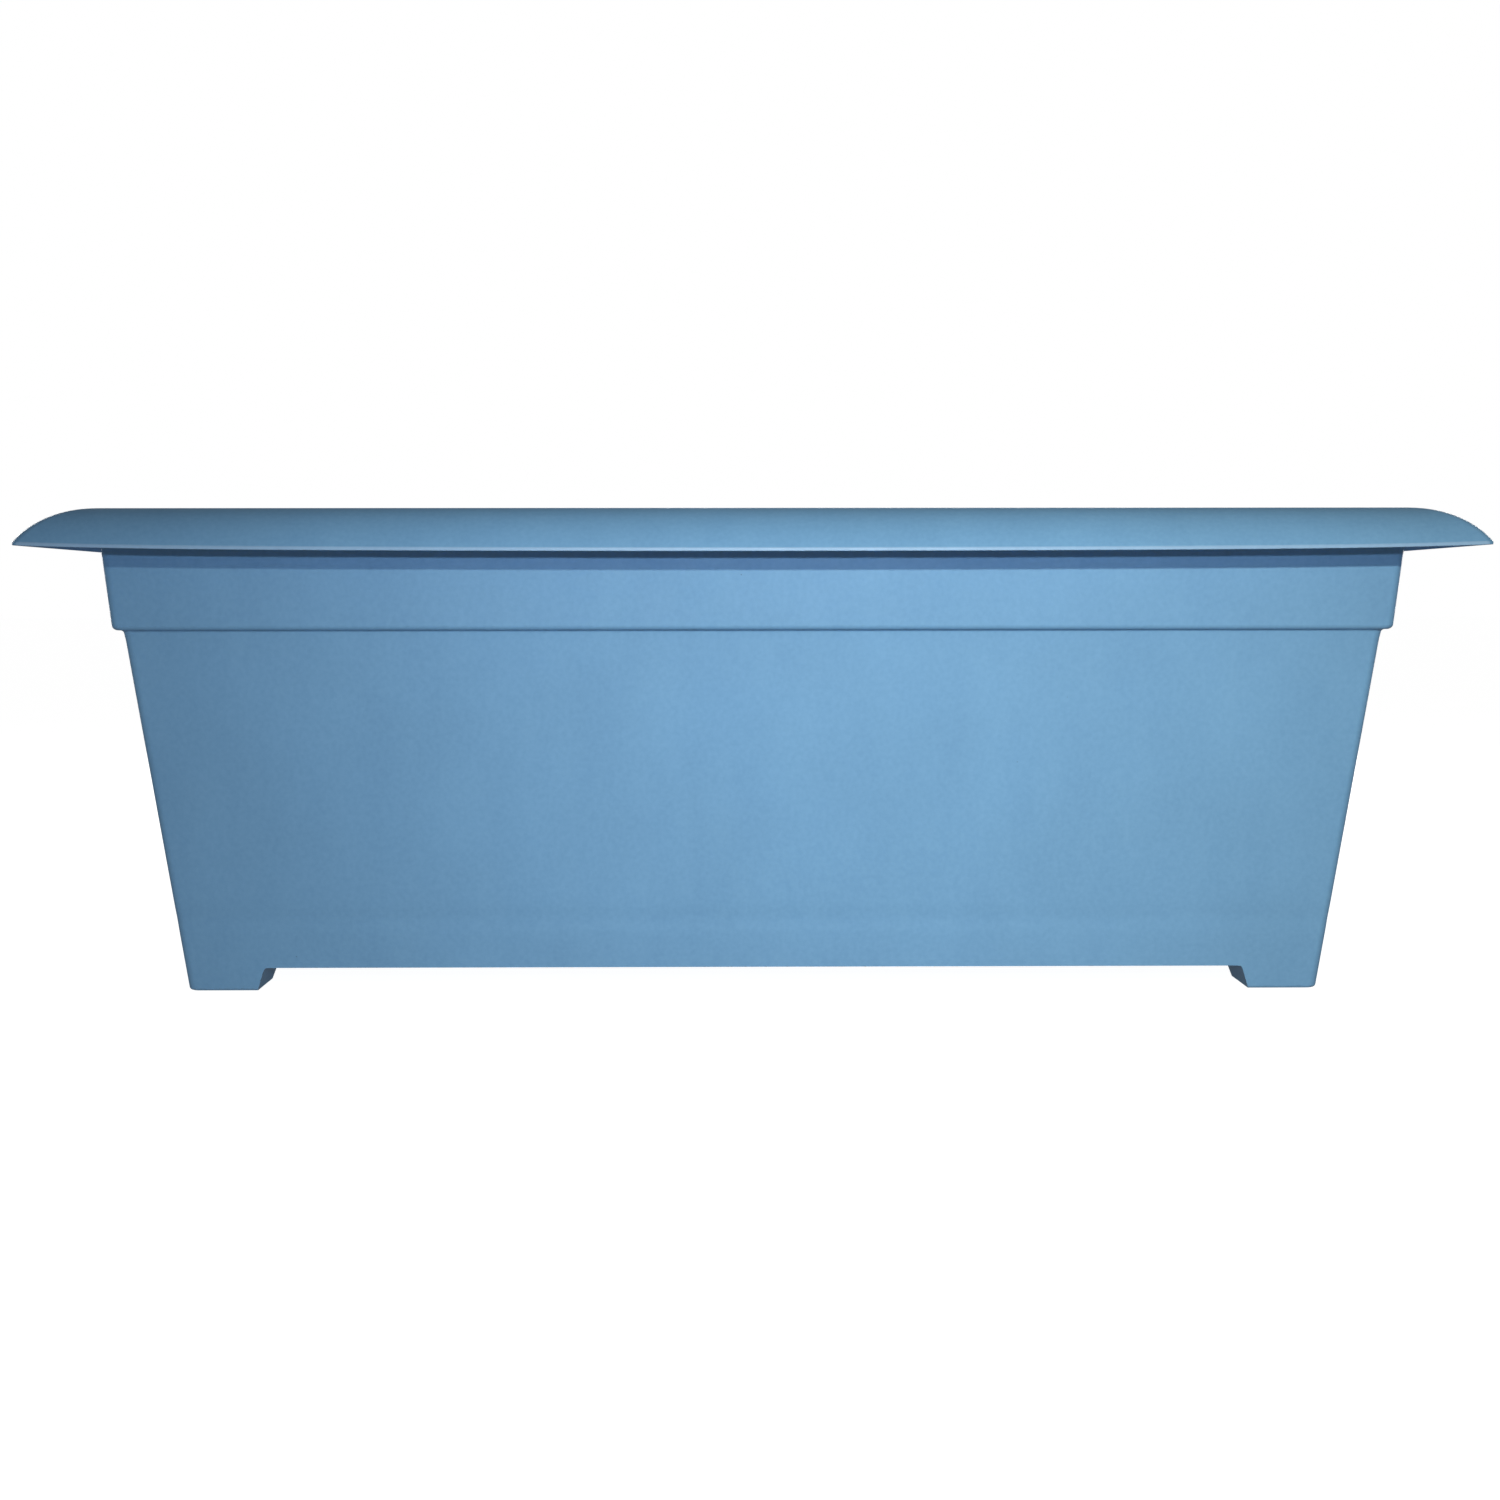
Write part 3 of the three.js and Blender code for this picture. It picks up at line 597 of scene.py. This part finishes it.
def wick_cup(name, spot):
    low = FLOOR_TOP + GAP
    rim = DECK_TOP + GAP
    base, top, flange, wall = 23 * MM, 30 * MM, 35 * MM, 2 * MM
    profile = [(0, low), (base, low), (top, rim), (flange, rim), (flange, rim + wall)]
    profile += [(top - wall, rim + wall), (base - wall, low + wall), (0, low + wall)]
    radii = [0, 1.6 * MM, 0.8 * MM, 0.7 * MM, 0.7 * MM, 1.6 * MM, 1.2 * MM, 0]
    cup = turned(name, rounded(profile, radii), 96)
    cutters = [turned("drain", [(0, 0), (5 * MM, 0), (5 * MM, rim), (0, rim)], 40)]
    for i in range(6):
        slot = rectangle(-2 * MM, low + 4 * MM, 2 * MM, rim - 5 * MM, 1.9 * MM)
        cutter = prism("slot", slot, "y", -40 * MM, 40 * MM)
        cutters.append(place(cutter, Matrix.Rotation(math.radians(15 + 30 * i), 4, "Z")))
    combine(cup, cutters, "DIFFERENCE")
    return moved(soften(cup, 0.35 * MM, 2), spot.x, spot.y)


# ---- The fill tube, its collar and its lid ------------------------------------------------------

TUBE_BOTTOM = FLOOR_TOP + 1 * MM
SHOULDER = DECK_TOP + SOCKET_HEIGHT + GAP
FILL_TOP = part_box("fill_tube")[1].z
COLLAR_TOP = FILL_TOP + 3 * MM
COLLAR_RADIUS = 18.6 * MM
HINGE = next(joint for joint in frame["joints"] if joint["name"] == "fill_lid_hinge")
PIN_Y = HINGE["pos_m"][1] - FILL_SPOT.y
PIN_Z = HINGE["pos_m"][2]
PIN_RADIUS = 1.4 * MM
PIN_HOLE = 1.75 * MM
KNUCKLE_HALF = 4.6 * MM
KNUCKLE_PLAY = 0.4 * MM
EAR = 3.2 * MM  # the thickness of a hinge ear, and its radius about the pin


def socket_tube(name, radius, top, spot):
    """A tube that stands in a socket by its flange, with four notches at its foot."""
    bore, flange = radius - 2 * MM, radius + 3 * MM
    above = SHOULDER + 2 * MM
    profile = [(radius, TUBE_BOTTOM), (radius, SHOULDER), (flange, SHOULDER), (flange, above)]
    profile += [(radius, above), (radius, top), (bore, top), (bore, TUBE_BOTTOM)]
    radii = [0.4 * MM, 0, 0.7 * MM, 0.7 * MM, 1.2 * MM, 0.8 * MM, 0.8 * MM, 0.4 * MM]
    tube = turned(name, rounded(profile, radii, True), 80)
    half, peak = 3 * MM, TUBE_BOTTOM + 10 * MM
    notch = [(-half, 0), (half, 0), (half, peak), (-half, peak)]
    notch = rounded(notch, [0, 0, 2.9 * MM, 2.9 * MM], True)
    cutters = [prism("notch", notch, axis, -2 * radius, 2 * radius) for axis in "xy"]
    combine(tube, cutters, "DIFFERENCE")
    return moved(soften(tube, 0.3 * MM, 2), spot.x, spot.y)


def along_hinge(name, radius, half, edge=0.0):
    """A round bar along X through the hinge, modelled about the fill tube's axis."""
    profile = rounded([(0, -half), (radius, -half), (radius, half), (0, half)], [0, edge, edge, 0])
    bar = place(turned(name, profile, 40), Matrix.Rotation(math.pi / 2, 4, "Y"))
    return moved(bar, 0, PIN_Y, PIN_Z)


def fill_collar():
    bore, mouth = FILL_RADIUS + GAP, FILL_RADIUS - 2 * MM
    low = FILL_TOP - 12 * MM
    seat = FILL_TOP + GAP
    profile = [(bore, low), (COLLAR_RADIUS, low), (COLLAR_RADIUS, COLLAR_TOP)]
    profile += [(mouth, COLLAR_TOP), (mouth, seat), (bore, seat)]
    radii = [0.4 * MM, 0.8 * MM, 0.9 * MM, 0.9 * MM, 0.4 * MM, 0]
    collar = turned("fill_tube_collar", rounded(profile, radii, True), 80)
    inner = KNUCKLE_HALF + KNUCKLE_PLAY
    root, shelf = FILL_TOP - 6 * MM, COLLAR_TOP - 0.4 * MM
    sunk_y, proud_y = COLLAR_RADIUS - 2 * MM, COLLAR_RADIUS + 1 * MM
    turns = [math.pi * k / 12 for k in range(13)]
    outline = [(PIN_Y + EAR * math.cos(a), PIN_Z + EAR * math.sin(a)) for a in turns]
    outline += [(PIN_Y - EAR, shelf), (sunk_y, shelf), (sunk_y, root)]
    outline += [(proud_y, root), (PIN_Y + EAR, root + 4 * MM)]
    ears = []
    for side in (-1, 1):
        x0, x1 = sorted((side * inner, side * (inner + EAR)))
        ears.append(prism("ear", outline, "x", x0, x1))
    combine(collar, ears, "UNION")
    clear = turned("clear", [(0, 0), (bore, 0), (bore, seat), (0, seat)], 80)
    combine(collar, [along_hinge("hole", PIN_HOLE, 20 * MM), clear], "DIFFERENCE")
    return moved(soften(collar, 0.4 * MM, 2), FILL_SPOT.x, FILL_SPOT.y)


def lid_pin():
    pin = along_hinge("lid_hinge_pin", PIN_RADIUS, KNUCKLE_HALF + KNUCKLE_PLAY + EAR, 0.4 * MM)
    return moved(soften(pin, 0), FILL_SPOT.x, FILL_SPOT.y)


def fill_lid():
    low = COLLAR_TOP + GAP
    high = low + 2.4 * MM
    edge = COLLAR_RADIUS
    profile = [(0, low), (edge - 0.4 * MM, low), (edge, low + 0.8 * MM), (edge - 0.8 * MM, high)]
    profile += [(edge * 0.45, high + 0.6 * MM), (0, high + 0.8 * MM)]
    radii = [0, 0.3 * MM, 0.6 * MM, 0.9 * MM, 9 * MM, 0]
    lid = turned("fill_tube_lid", rounded(profile, radii), 96)
    tab = rectangle(-6 * MM, -edge - 6 * MM, 6 * MM, 3 * MM - edge, 2.2 * MM)
    arm = rectangle(-KNUCKLE_HALF, edge - 5 * MM, KNUCKLE_HALF, PIN_Y)
    parts = [
        prism("tab", tab, "z", low + 0.4 * MM, high - 0.3 * MM),
        prism("arm", arm, "z", low + 0.1 * MM, high),
        along_hinge("knuckle", 2.9 * MM, KNUCKLE_HALF),
    ]
    combine(lid, parts, "UNION")
    below = low - 0.01 * MM
    room = edge + GAP
    clear = turned("clear", [(0, 0), (room, 0), (room, below), (0, below)], 96)
    combine(lid, [along_hinge("hole", PIN_HOLE, 20 * MM), clear], "DIFFERENCE")
    return moved(soften(lid, 0.45 * MM), FILL_SPOT.x, FILL_SPOT.y)


# ---- The water gauge ----------------------------------------------------------------------------

GAUGE_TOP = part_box("gauge_tube")[1].z
GUIDE_RADIUS = 2.9 * MM
GUIDE_TOP = GAUGE_TOP + GAP + 1.8 * MM


def at_gauge(piece):
    return moved(piece, GAUGE_SPOT.x, GAUGE_SPOT.y)


def gauge_guide():
    plug = GAUGE_RADIUS - 2 * MM - GAP
    top = GAUGE_TOP + GAP
    nose = top - 7 * MM
    profile = [(GUIDE_RADIUS, nose), (GUIDE_RADIUS + 1.6 * MM, nose), (plug, top - 5 * MM)]
    profile += [(plug, top), (GAUGE_RADIUS, top), (GAUGE_RADIUS, GUIDE_TOP)]
    profile += [(GUIDE_RADIUS, GUIDE_TOP)]
    profile = rounded(profile, [0.4 * MM] * 3 + [0, 0.5 * MM, 0.6 * MM, 0.6 * MM], True)
    return at_gauge(soften(turned("gauge_rod_guide", profile, 64), 0))


def gauge_window():
    bore = GAUGE_RADIUS + GAP
    outer = bore + 1.8 * MM
    low, top = GAUGE_TOP - 9 * MM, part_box("gauge_window")[1].z
    room = GAUGE_RADIUS - 1 * MM
    seat, ceiling = GUIDE_TOP + GAP, top - 2 * MM
    profile = [(0, top), (outer, top), (outer, low), (bore, low), (bore, seat)]
    profile += [(room, seat), (room, ceiling), (0, ceiling)]
    radii = [0, 5 * MM, 0.7 * MM, 0.5 * MM, 0, 0.4 * MM, 4 * MM, 0]
    return at_gauge(soften(turned("gauge_clear_cap", rounded(profile, radii, steps=10), 80), 0))


def in_gauge(name, box, radius, below, above, segments, steps=5):
    """A round piece as high as a CAD node's box, with its lower and upper edges rounded."""
    low, high = (corner.z for corner in box)
    corners = [(0, low), (radius, low), (radius, high), (0, high)]
    profile = rounded(corners, [0, below, above, 0], steps=steps)
    return at_gauge(soften(turned(name, profile, segments), 0))


def gauge_float():
    return in_gauge("float_body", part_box("gauge_float"), 9 * MM, 2 * MM, 2 * MM, 64)


def float_rod():
    return in_gauge("float_stem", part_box("float_rod"), 1.8 * MM, 0.3 * MM, 0.3 * MM, 32)


def float_tip():
    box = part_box("float_tip")
    return in_gauge("float_pointer", box, 4 * MM, 0.5 * MM, 2.6 * MM, 48, steps=8)


# ---- The bungs ----------------------------------------------------------------------------------

GASKET = 1.6 * MM
HEAD_TOP = FOOT_HEIGHT - GASKET - 2 * GAP


def drain_plug(name, spot):
    shank, head = DRAIN_RADIUS - 0.4 * MM, 12 * MM
    face = HEAD_TOP - 3 * MM
    end = FLOOR_TOP + 3 * MM
    profile = [(0, face), (head, face), (head, HEAD_TOP)]
    profile += [(shank, HEAD_TOP), (shank - 0.5 * MM, end), (0, end)]
    plug = turned(name, rounded(profile, [0, 1.3 * MM, 0.6 * MM, 0.6 * MM, 1.2 * MM, 0]), 72)
    grip = rectangle(-8 * MM, -1.5 * MM, 8 * MM, 1.5 * MM, 1.4 * MM)
    combine(plug, [prism("grip", grip, "z", HEAD_TOP - 6.5 * MM, HEAD_TOP - 2 * MM)], "UNION")
    return moved(soften(plug, 0.4 * MM), spot.x, spot.y)


def drain_gasket(name, spot):
    low, high = HEAD_TOP + GAP, FOOT_HEIGHT - GAP
    outer = 11.5 * MM
    outline = [(DRAIN_RADIUS, low), (outer, low), (outer, high), (DRAIN_RADIUS, high)]
    gasket = turned(name, rounded(outline, 0.6 * MM, True), 64)
    return moved(soften(gasket, 0), spot.x, spot.y)


def overflow_plug(name, side):
    nose, shank, flange, neck, knob = 3 * MM, 3.6 * MM, 7.5 * MM, 4 * MM, 5.5 * MM
    start, end = -8 * MM, 8.5 * MM
    profile = [(0, start), (nose, start), (shank, GAP), (flange, GAP), (flange, 2 * MM)]
    profile += [(neck, 3 * MM), (neck, 4.5 * MM), (knob, 5.5 * MM), (knob, end), (0, end)]
    radii = [r * MM for r in (0, 0.8, 0.3, 0.6, 0.9, 1, 1, 0.6, 1.4, 0)]
    plug = turned(name, rounded(profile, radii), 56)
    return through_end(soften(plug, 0), side)


# ---- Materials ----------------------------------------------------------------------------------


class Finish:
    """A procedural material: a Principled shader with noise in its colour, roughness and bump."""

    def __init__(self, name, roughness, metallic=0.0):
        self.material = bpy.data.materials.new(name)
        self.material.use_nodes = True
        self.tree = self.material.node_tree
        self.shader = self.tree.nodes["Principled BSDF"]
        self.shader.inputs["Metallic"].default_value = metallic
        self.shader.inputs["Roughness"].default_value = roughness
        self.place = self.tree.nodes.new("ShaderNodeTexCoord").outputs["Object"]
        self.normal = None

    def noise(self, scale, detail, stretch=None):
        place = self.place
        if stretch:
            mapping = self.tree.nodes.new("ShaderNodeMapping")
            mapping.inputs["Scale"].default_value = stretch
            self.tree.links.new(place, mapping.inputs["Vector"])
            place = mapping.outputs["Vector"]
        node = self.tree.nodes.new("ShaderNodeTexNoise")
        node.inputs["Scale"].default_value = scale
        node.inputs["Detail"].default_value = detail
        self.tree.links.new(place, node.inputs["Vector"])
        return node.outputs["Fac"]

    def cells(self, scale):
        """The distance from the nearest of many scattered points."""
        node = self.tree.nodes.new("ShaderNodeTexVoronoi")
        node.inputs["Scale"].default_value = scale
        self.tree.links.new(self.place, node.inputs["Vector"])
        return node.outputs["Distance"]

    def spread(self, value, low, high):
        """Maps the middle of a noise's range to low..high."""
        node = self.tree.nodes.new("ShaderNodeMapRange")
        node.inputs["From Min"].default_value = 0.3
        node.inputs["From Max"].default_value = 0.7
        node.inputs["To Min"].default_value = low
        node.inputs["To Max"].default_value = high
        self.tree.links.new(value, node.inputs["Value"])
        return node.outputs["Result"]

    def colours(self, value, first, last):
        """Turns a value into a colour between two stops of (position, colour)."""
        node = self.tree.nodes.new("ShaderNodeValToRGB")
        for element, (position, colour) in zip(node.color_ramp.elements, (first, last)):
            element.position = position
            element.color = (*colour, 1)
        self.tree.links.new(value, node.inputs["Fac"])
        return node.outputs["Color"]

    def mix(self, kind, factor, first, second):
        node = self.tree.nodes.new("ShaderNodeMix")
        node.data_type = "RGBA"
        node.blend_type = kind
        node.inputs["Factor"].default_value = factor
        self.tree.links.new(first, node.inputs[6])
        self.tree.links.new(second, node.inputs[7])
        return node.outputs[2]

    def base(self, colour):
        self.tree.links.new(colour, self.shader.inputs["Base Color"])

    def rough(self, value):
        self.tree.links.new(value, self.shader.inputs["Roughness"])

    def math(self, kind, first, second):
        node = self.tree.nodes.new("ShaderNodeMath")
        node.operation = kind
        for socket, value in zip(node.inputs, (first, second)):
            if isinstance(value, (int, float)):
                socket.default_value = value
            else:
                self.tree.links.new(value, socket)
        return node.outputs["Value"]

    def beyond(self, half_x, half_y):
        """One where a point lies outside a rectangle about the middle, and zero inside it."""
        axes = self.tree.nodes.new("ShaderNodeSeparateXYZ")
        self.tree.links.new(self.place, axes.inputs["Vector"])
        from_middle = [self.math("ABSOLUTE", axes.outputs[axis], 0) for axis in "XY"]
        past_end = self.math("GREATER_THAN", from_middle[0], half_x)
        past_side = self.math("GREATER_THAN", from_middle[1], half_y)
        return self.math("MAXIMUM", past_end, past_side)

    def bump(self, value, depth, strength=1.0):
        """Adds a bump of the given depth in metres on top of those already there."""
        node = self.tree.nodes.new("ShaderNodeBump")
        node.inputs["Distance"].default_value = depth
        node.inputs["Strength"].default_value = strength
        self.tree.links.new(value, node.inputs["Height"])
        if self.normal:
            self.tree.links.new(self.normal, node.inputs["Normal"])
        self.normal = node.outputs["Normal"]
        self.tree.links.new(self.normal, self.shader.inputs["Normal"])


def shades(colour, spread):
    """The two stops of a noise's colours: a little darker, and a little lighter."""
    dark = tuple(c * (1 - spread) for c in colour)
    light = tuple(c * (1 + spread) for c in colour)
    return (0.3, dark), (0.7, light)


def moulded_plastic(name, colour, roughness, mottle=0.03, grain=0.03 * MM, box=False):
    """Matte moulded plastic: slightly uneven in colour and gloss, with a fine leathery grain.

    The box's own has a few dark specks; its rim's edge is worn smoother, with a painted highlight.
    """
    finish = Finish(name, roughness)
    grey = (0.5, 0.5, 0.5)
    streaky = (1, 1, 0.25)
    look = finish.colours(finish.noise(14, 4), *shades(colour, mottle))
    for scale, stretch, strength in ((420, None, 0.6), (60, streaky, 0.3)):
        fine = finish.colours(finish.noise(scale, 5, stretch), *shades(grey, mottle * 4))
        look = finish.mix("SOFT_LIGHT", strength, look, fine)
    gloss = finish.spread(finish.noise(45, 4), roughness - 0.05, roughness + 0.06)
    if box:
        finish.shader.inputs["Specular IOR Level"].default_value = 0.3
        speck, white, black = (0.25, 0.25, 0.28), (1, 1, 1), (0, 0, 0)
        dots = finish.colours(finish.cells(34), (0.0, speck), (0.016, white))
        look = finish.mix("MULTIPLY", 0.75, look, dots)
        # The rim's edge: a mask that makes it smoother and lightens its colour with a painted
        # highlight.
        edge = 0.3 * MM
        rubbed_and_highlit_edge = finish.beyond(HALF_LENGTH - edge, HALF_WIDTH - edge)
        gloss = finish.math("SUBTRACT", gloss, finish.math("MULTIPLY", rubbed_and_highlit_edge, 0.1))
        # Painted highlight: a pale colour screened over the rim's edge.
        painted_highlight = finish.colours(rubbed_and_highlit_edge, (0.0, black), (1.0, (0.13, 0.135, 0.16)))
        look = finish.mix("SCREEN", 1.0, look, painted_highlight)
    finish.base(look)
    finish.rough(gloss)
    finish.bump(finish.noise(5.5, 1), 0.25 * MM, 0.6)
    finish.bump(finish.noise(1150, 2), grain)
    return finish.material


def clear_plastic():
    finish = Finish("clear_plastic", 0.08)
    finish.shader.inputs["Transmission Weight"].default_value = 1.0
    finish.shader.inputs["IOR"].default_value = 1.45
    deep, pale = (0.90, 0.95, 0.97), (0.95, 0.98, 0.99)
    finish.base(finish.colours(finish.noise(60, 2), (0.3, deep), (0.7, pale)))
    finish.rough(finish.spread(finish.noise(240, 3), 0.05, 0.12))
    return finish.material


def float_foam():
    finish = Finish("float_foam", 0.85)
    beads = finish.cells(900)
    # Darker where the bump sinks into each bead: painted shade in the pits.
    pit_shade, bead = (0.70, 0.68, 0.62), (0.86, 0.85, 0.79)
    finish.base(finish.colours(beads, (0.0, pit_shade), (0.5, bead)))
    finish.bump(beads, 0.12 * MM)
    return finish.material


def plug_rubber():
    finish = Finish("plug_rubber", 0.75)
    black, dusty = (0.012, 0.012, 0.014), (0.035, 0.035, 0.038)
    finish.base(finish.colours(finish.noise(90, 5), (0.3, black), (0.75, dusty)))
    finish.rough(finish.spread(finish.noise(160, 4), 0.62, 0.85))
    finish.bump(finish.noise(1800, 2), 0.03 * MM)
    return finish.material


def pin_steel():
    finish = Finish("pin_steel", 0.3, 1.0)
    along = finish.noise(500, 3, stretch=(0.1, 4, 4))
    finish.base(finish.colours(along, (0.3, (0.56, 0.57, 0.60)), (0.7, (0.72, 0.73, 0.75))))
    finish.rough(finish.spread(along, 0.24, 0.4))
    finish.bump(along, 0.01 * MM)
    return finish.material


SLATE_BLUE = (0.181, 0.369, 0.588)
CHARCOAL = (0.050, 0.054, 0.057)
SIGNAL_RED = (0.60, 0.028, 0.018)
FINISHES = {
    "box_plastic": moulded_plastic("box_plastic", SLATE_BLUE, 0.52, box=True),
    "inner_plastic": moulded_plastic("inner_plastic", CHARCOAL, 0.5, mottle=0.08),
    "clear_plastic": clear_plastic(),
    "float_foam": float_foam(),
    "tip_red": moulded_plastic("tip_red", SIGNAL_RED, 0.28, grain=0.004 * MM),
    "plug_rubber": plug_rubber(),
    "pin_steel": pin_steel(),
}


# ---- The assembly -------------------------------------------------------------------------------

BODIES = frame["record"]["behaviour"]["bodies"]
NODE_BODY = {node: body for body, nodes in BODIES.items() for node in nodes}
NODE_SLOT = {part["node"]: part["material_slot"] for part in frame["record"]["subparts"]}


def stand_for(piece, node):
    """The piece replaces a CAD node: it takes its body, its slot and that slot's finish."""
    piece.data.materials.clear()
    piece.data.materials.append(FINISHES[NODE_SLOT[node]])
    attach(piece, NODE_BODY[node])
    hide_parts(node)


stand_for(planter_box(), "planter_box")
stand_for(platform(), "platform")
stand_for(socket_tube("fill_pipe", FILL_RADIUS, FILL_TOP, FILL_SPOT), "fill_tube")
stand_for(fill_collar(), "fill_collar")
stand_for(lid_pin(), "lid_pin")
stand_for(fill_lid(), "fill_lid")
stand_for(socket_tube("gauge_pipe", GAUGE_RADIUS, GAUGE_TOP, GAUGE_SPOT), "gauge_tube")
stand_for(gauge_guide(), "gauge_guide")
stand_for(gauge_window(), "gauge_window")
stand_for(gauge_float(), "gauge_float")
stand_for(float_rod(), "float_rod")
stand_for(float_tip(), "float_tip")
for end, side in (("left", -1), ("right", 1)):
    cup, plug = f"wick_cup_{end}", f"drain_plug_{end}"
    stand_for(wick_cup(f"wicking_cup_{end}", middle(cup)), cup)
    stand_for(drain_plug(f"drain_bung_{end}", middle(plug)), plug)
    stand_for(drain_gasket(f"drain_washer_{end}", middle(plug)), f"drain_gasket_{end}")
    stand_for(overflow_plug(f"overflow_bung_{end}", side), f"overflow_plug_{end}")


# ---- The floor, the lights and the camera -------------------------------------------------------


def floor():
    """A grey floor that glows almost white, so that it fades into the white behind it."""
    finish = Finish("studio_floor", 0.9)
    darker, lighter = (0.29, 0.29, 0.29), (0.31, 0.31, 0.31)
    finish.base(finish.colours(finish.noise(3, 2), (0.3, darker), (0.7, lighter)))
    finish.shader.inputs["Specular IOR Level"].default_value = 0.0
    finish.shader.inputs["Emission Color"].default_value = (1, 1, 1, 1)
    finish.shader.inputs["Emission Strength"].default_value = 0.965
    half = 30
    corners = [(x, y, 0) for x, y in rectangle(-half, -half, half, half)]
    piece = from_faces("studio_floor", corners, [[0, 1, 2, 3]])
    piece.data.materials.append(finish.material)
    piece.visible_diffuse = False
    piece.visible_glossy = False


def lamp(name, light, spot, target):
    holder = bpy.data.objects.new(name, light)
    bpy.context.scene.collection.objects.link(holder)
    holder.location = spot
    holder.rotation_euler = (Vector(target) - Vector(spot)).to_track_quat("-Z", "Y").to_euler()
    holder.visible_camera = False


BULB = 18 * MM
BEAM = 15  # how narrow: the power of the cosine that the beam falls off by


def flash(name, spot, target, watts, colour):
    """A small lamp whose beam is brightest along its axis, as through a reflector."""
    light = bpy.data.lights.new(name, "POINT")
    light.energy = watts
    light.color = colour
    light.shadow_soft_size = BULB
    light.use_nodes = True
    tree = light.node_tree
    way = tree.nodes.new("ShaderNodeTexCoord").outputs["Normal"]
    along = tree.nodes.new("ShaderNodeVectorMath")
    along.operation = "DOT_PRODUCT"
    along.inputs[1].default_value = (0, 0, -1)
    beam = tree.nodes.new("ShaderNodeMath")
    beam.operation = "POWER"
    beam.inputs[1].default_value = BEAM
    beam.use_clamp = True
    tree.links.new(way, along.inputs[0])
    tree.links.new(along.outputs["Value"], beam.inputs[0])
    tree.links.new(beam.outputs["Value"], tree.nodes["Emission"].inputs["Strength"])
    lamp(name, light, spot, target)


def softbox(name, spot, target, size, watts, spread=180):
    light = bpy.data.lights.new(name, "AREA")
    light.spread = math.radians(spread)
    light.shape = "RECTANGLE"
    light.size, light.size_y = size
    light.energy = watts
    lamp(name, light, spot, target)


def surroundings(from_above, from_below):
    """White to look at. As a light it has one colour from above and another from below."""
    horizon = 0.3  # the sine of the angle either side of level over which they blend
    world = bpy.data.worlds.new("studio")
    world.use_nodes = True
    tree = world.node_tree
    shown = tree.nodes["Background"]
    shown.inputs["Color"].default_value = (1, 1, 1, 1)
    light = tree.nodes.new("ShaderNodeBackground")
    height = tree.nodes.new("ShaderNodeSeparateXYZ")
    tree.links.new(tree.nodes.new("ShaderNodeTexCoord").outputs["Generated"], height.inputs[0])
    level = tree.nodes.new("ShaderNodeMapRange")
    level.inputs["From Min"].default_value = -horizon
    level.inputs["From Max"].default_value = horizon
    tree.links.new(height.outputs["Z"], level.inputs["Value"])
    glow = tree.nodes.new("ShaderNodeValToRGB")
    glow.color_ramp.elements[0].color = (*from_below, 1)
    glow.color_ramp.elements[1].color = (*from_above, 1)
    tree.links.new(level.outputs["Result"], glow.inputs["Fac"])
    tree.links.new(glow.outputs["Color"], light.inputs["Color"])
    choice = tree.nodes.new("ShaderNodeMixShader")
    seen = tree.nodes.new("ShaderNodeLightPath").outputs["Is Camera Ray"]
    tree.links.new(seen, choice.inputs["Fac"])
    tree.links.new(light.outputs["Background"], choice.inputs[1])
    tree.links.new(shown.outputs["Background"], choice.inputs[2])
    tree.links.new(choice.outputs["Shader"], tree.nodes["World Output"].inputs["Surface"])
    bpy.context.scene.world = world


def studio():
    """Two flashes from the front, three fills from behind, and two beams down into the box."""
    surroundings(from_above=(0.1, 0.1, 0.1), from_below=(0.215, 0.205, 0.200))
    away = -HALF_WIDTH - 1.165
    for name, height, aim, watts, colour in (
        ("low", 318 * MM, 10 * MM, 26.7, (0.645, 0.79, 1.0)),
        ("high", 520 * MM, 165 * MM, 41.7, (0.96, 0.98, 0.83)),
    ):
        target = (aim, -HALF_WIDTH, 140 * MM)
        flash(f"flash_{name}", (40 * MM, away, height), target, watts, colour)
    for name, x, y, watts in (
        ("left", -1.3, 1.3, 17),
        ("right", 1.3, 1.3, 17),
        ("back", 0.2, 1.9, 7),
    ):
        softbox(f"fill_{name}", (x, y, 0.5), (0, 0, 120 * MM), (0.8, 0.6), watts)
    for name, side in (("front", -1), ("back", 1)):
        wall = (0, side * 70 * MM, 120 * MM)
        softbox(f"inside_{name}", (0, -side * 0.3, 1.1), wall, (0.56, 0.05), 0.1, spread=8)
    floor()


def camera():
    """About a metre in front of the rim, level with the band and looking down a little."""
    spot = (-12.9 * MM, -HALF_WIDTH - 1.05, 198.2 * MM)
    tilt, roll, turn = (math.radians(a) for a in (3.84, 0.055, -0.566))
    lens = bpy.data.cameras.new("camera")
    lens.sensor_width = 36
    lens.lens = 52.5
    lens.clip_start = 0.05
    viewer = bpy.data.objects.new("camera", lens)
    bpy.context.scene.collection.objects.link(viewer)
    viewer.location = spot
    viewer.rotation_euler = (math.pi / 2 - tilt, roll, turn)
    bpy.context.scene.camera = viewer


studio()
camera()
bpy.context.scene.view_settings.view_transform = "Standard"
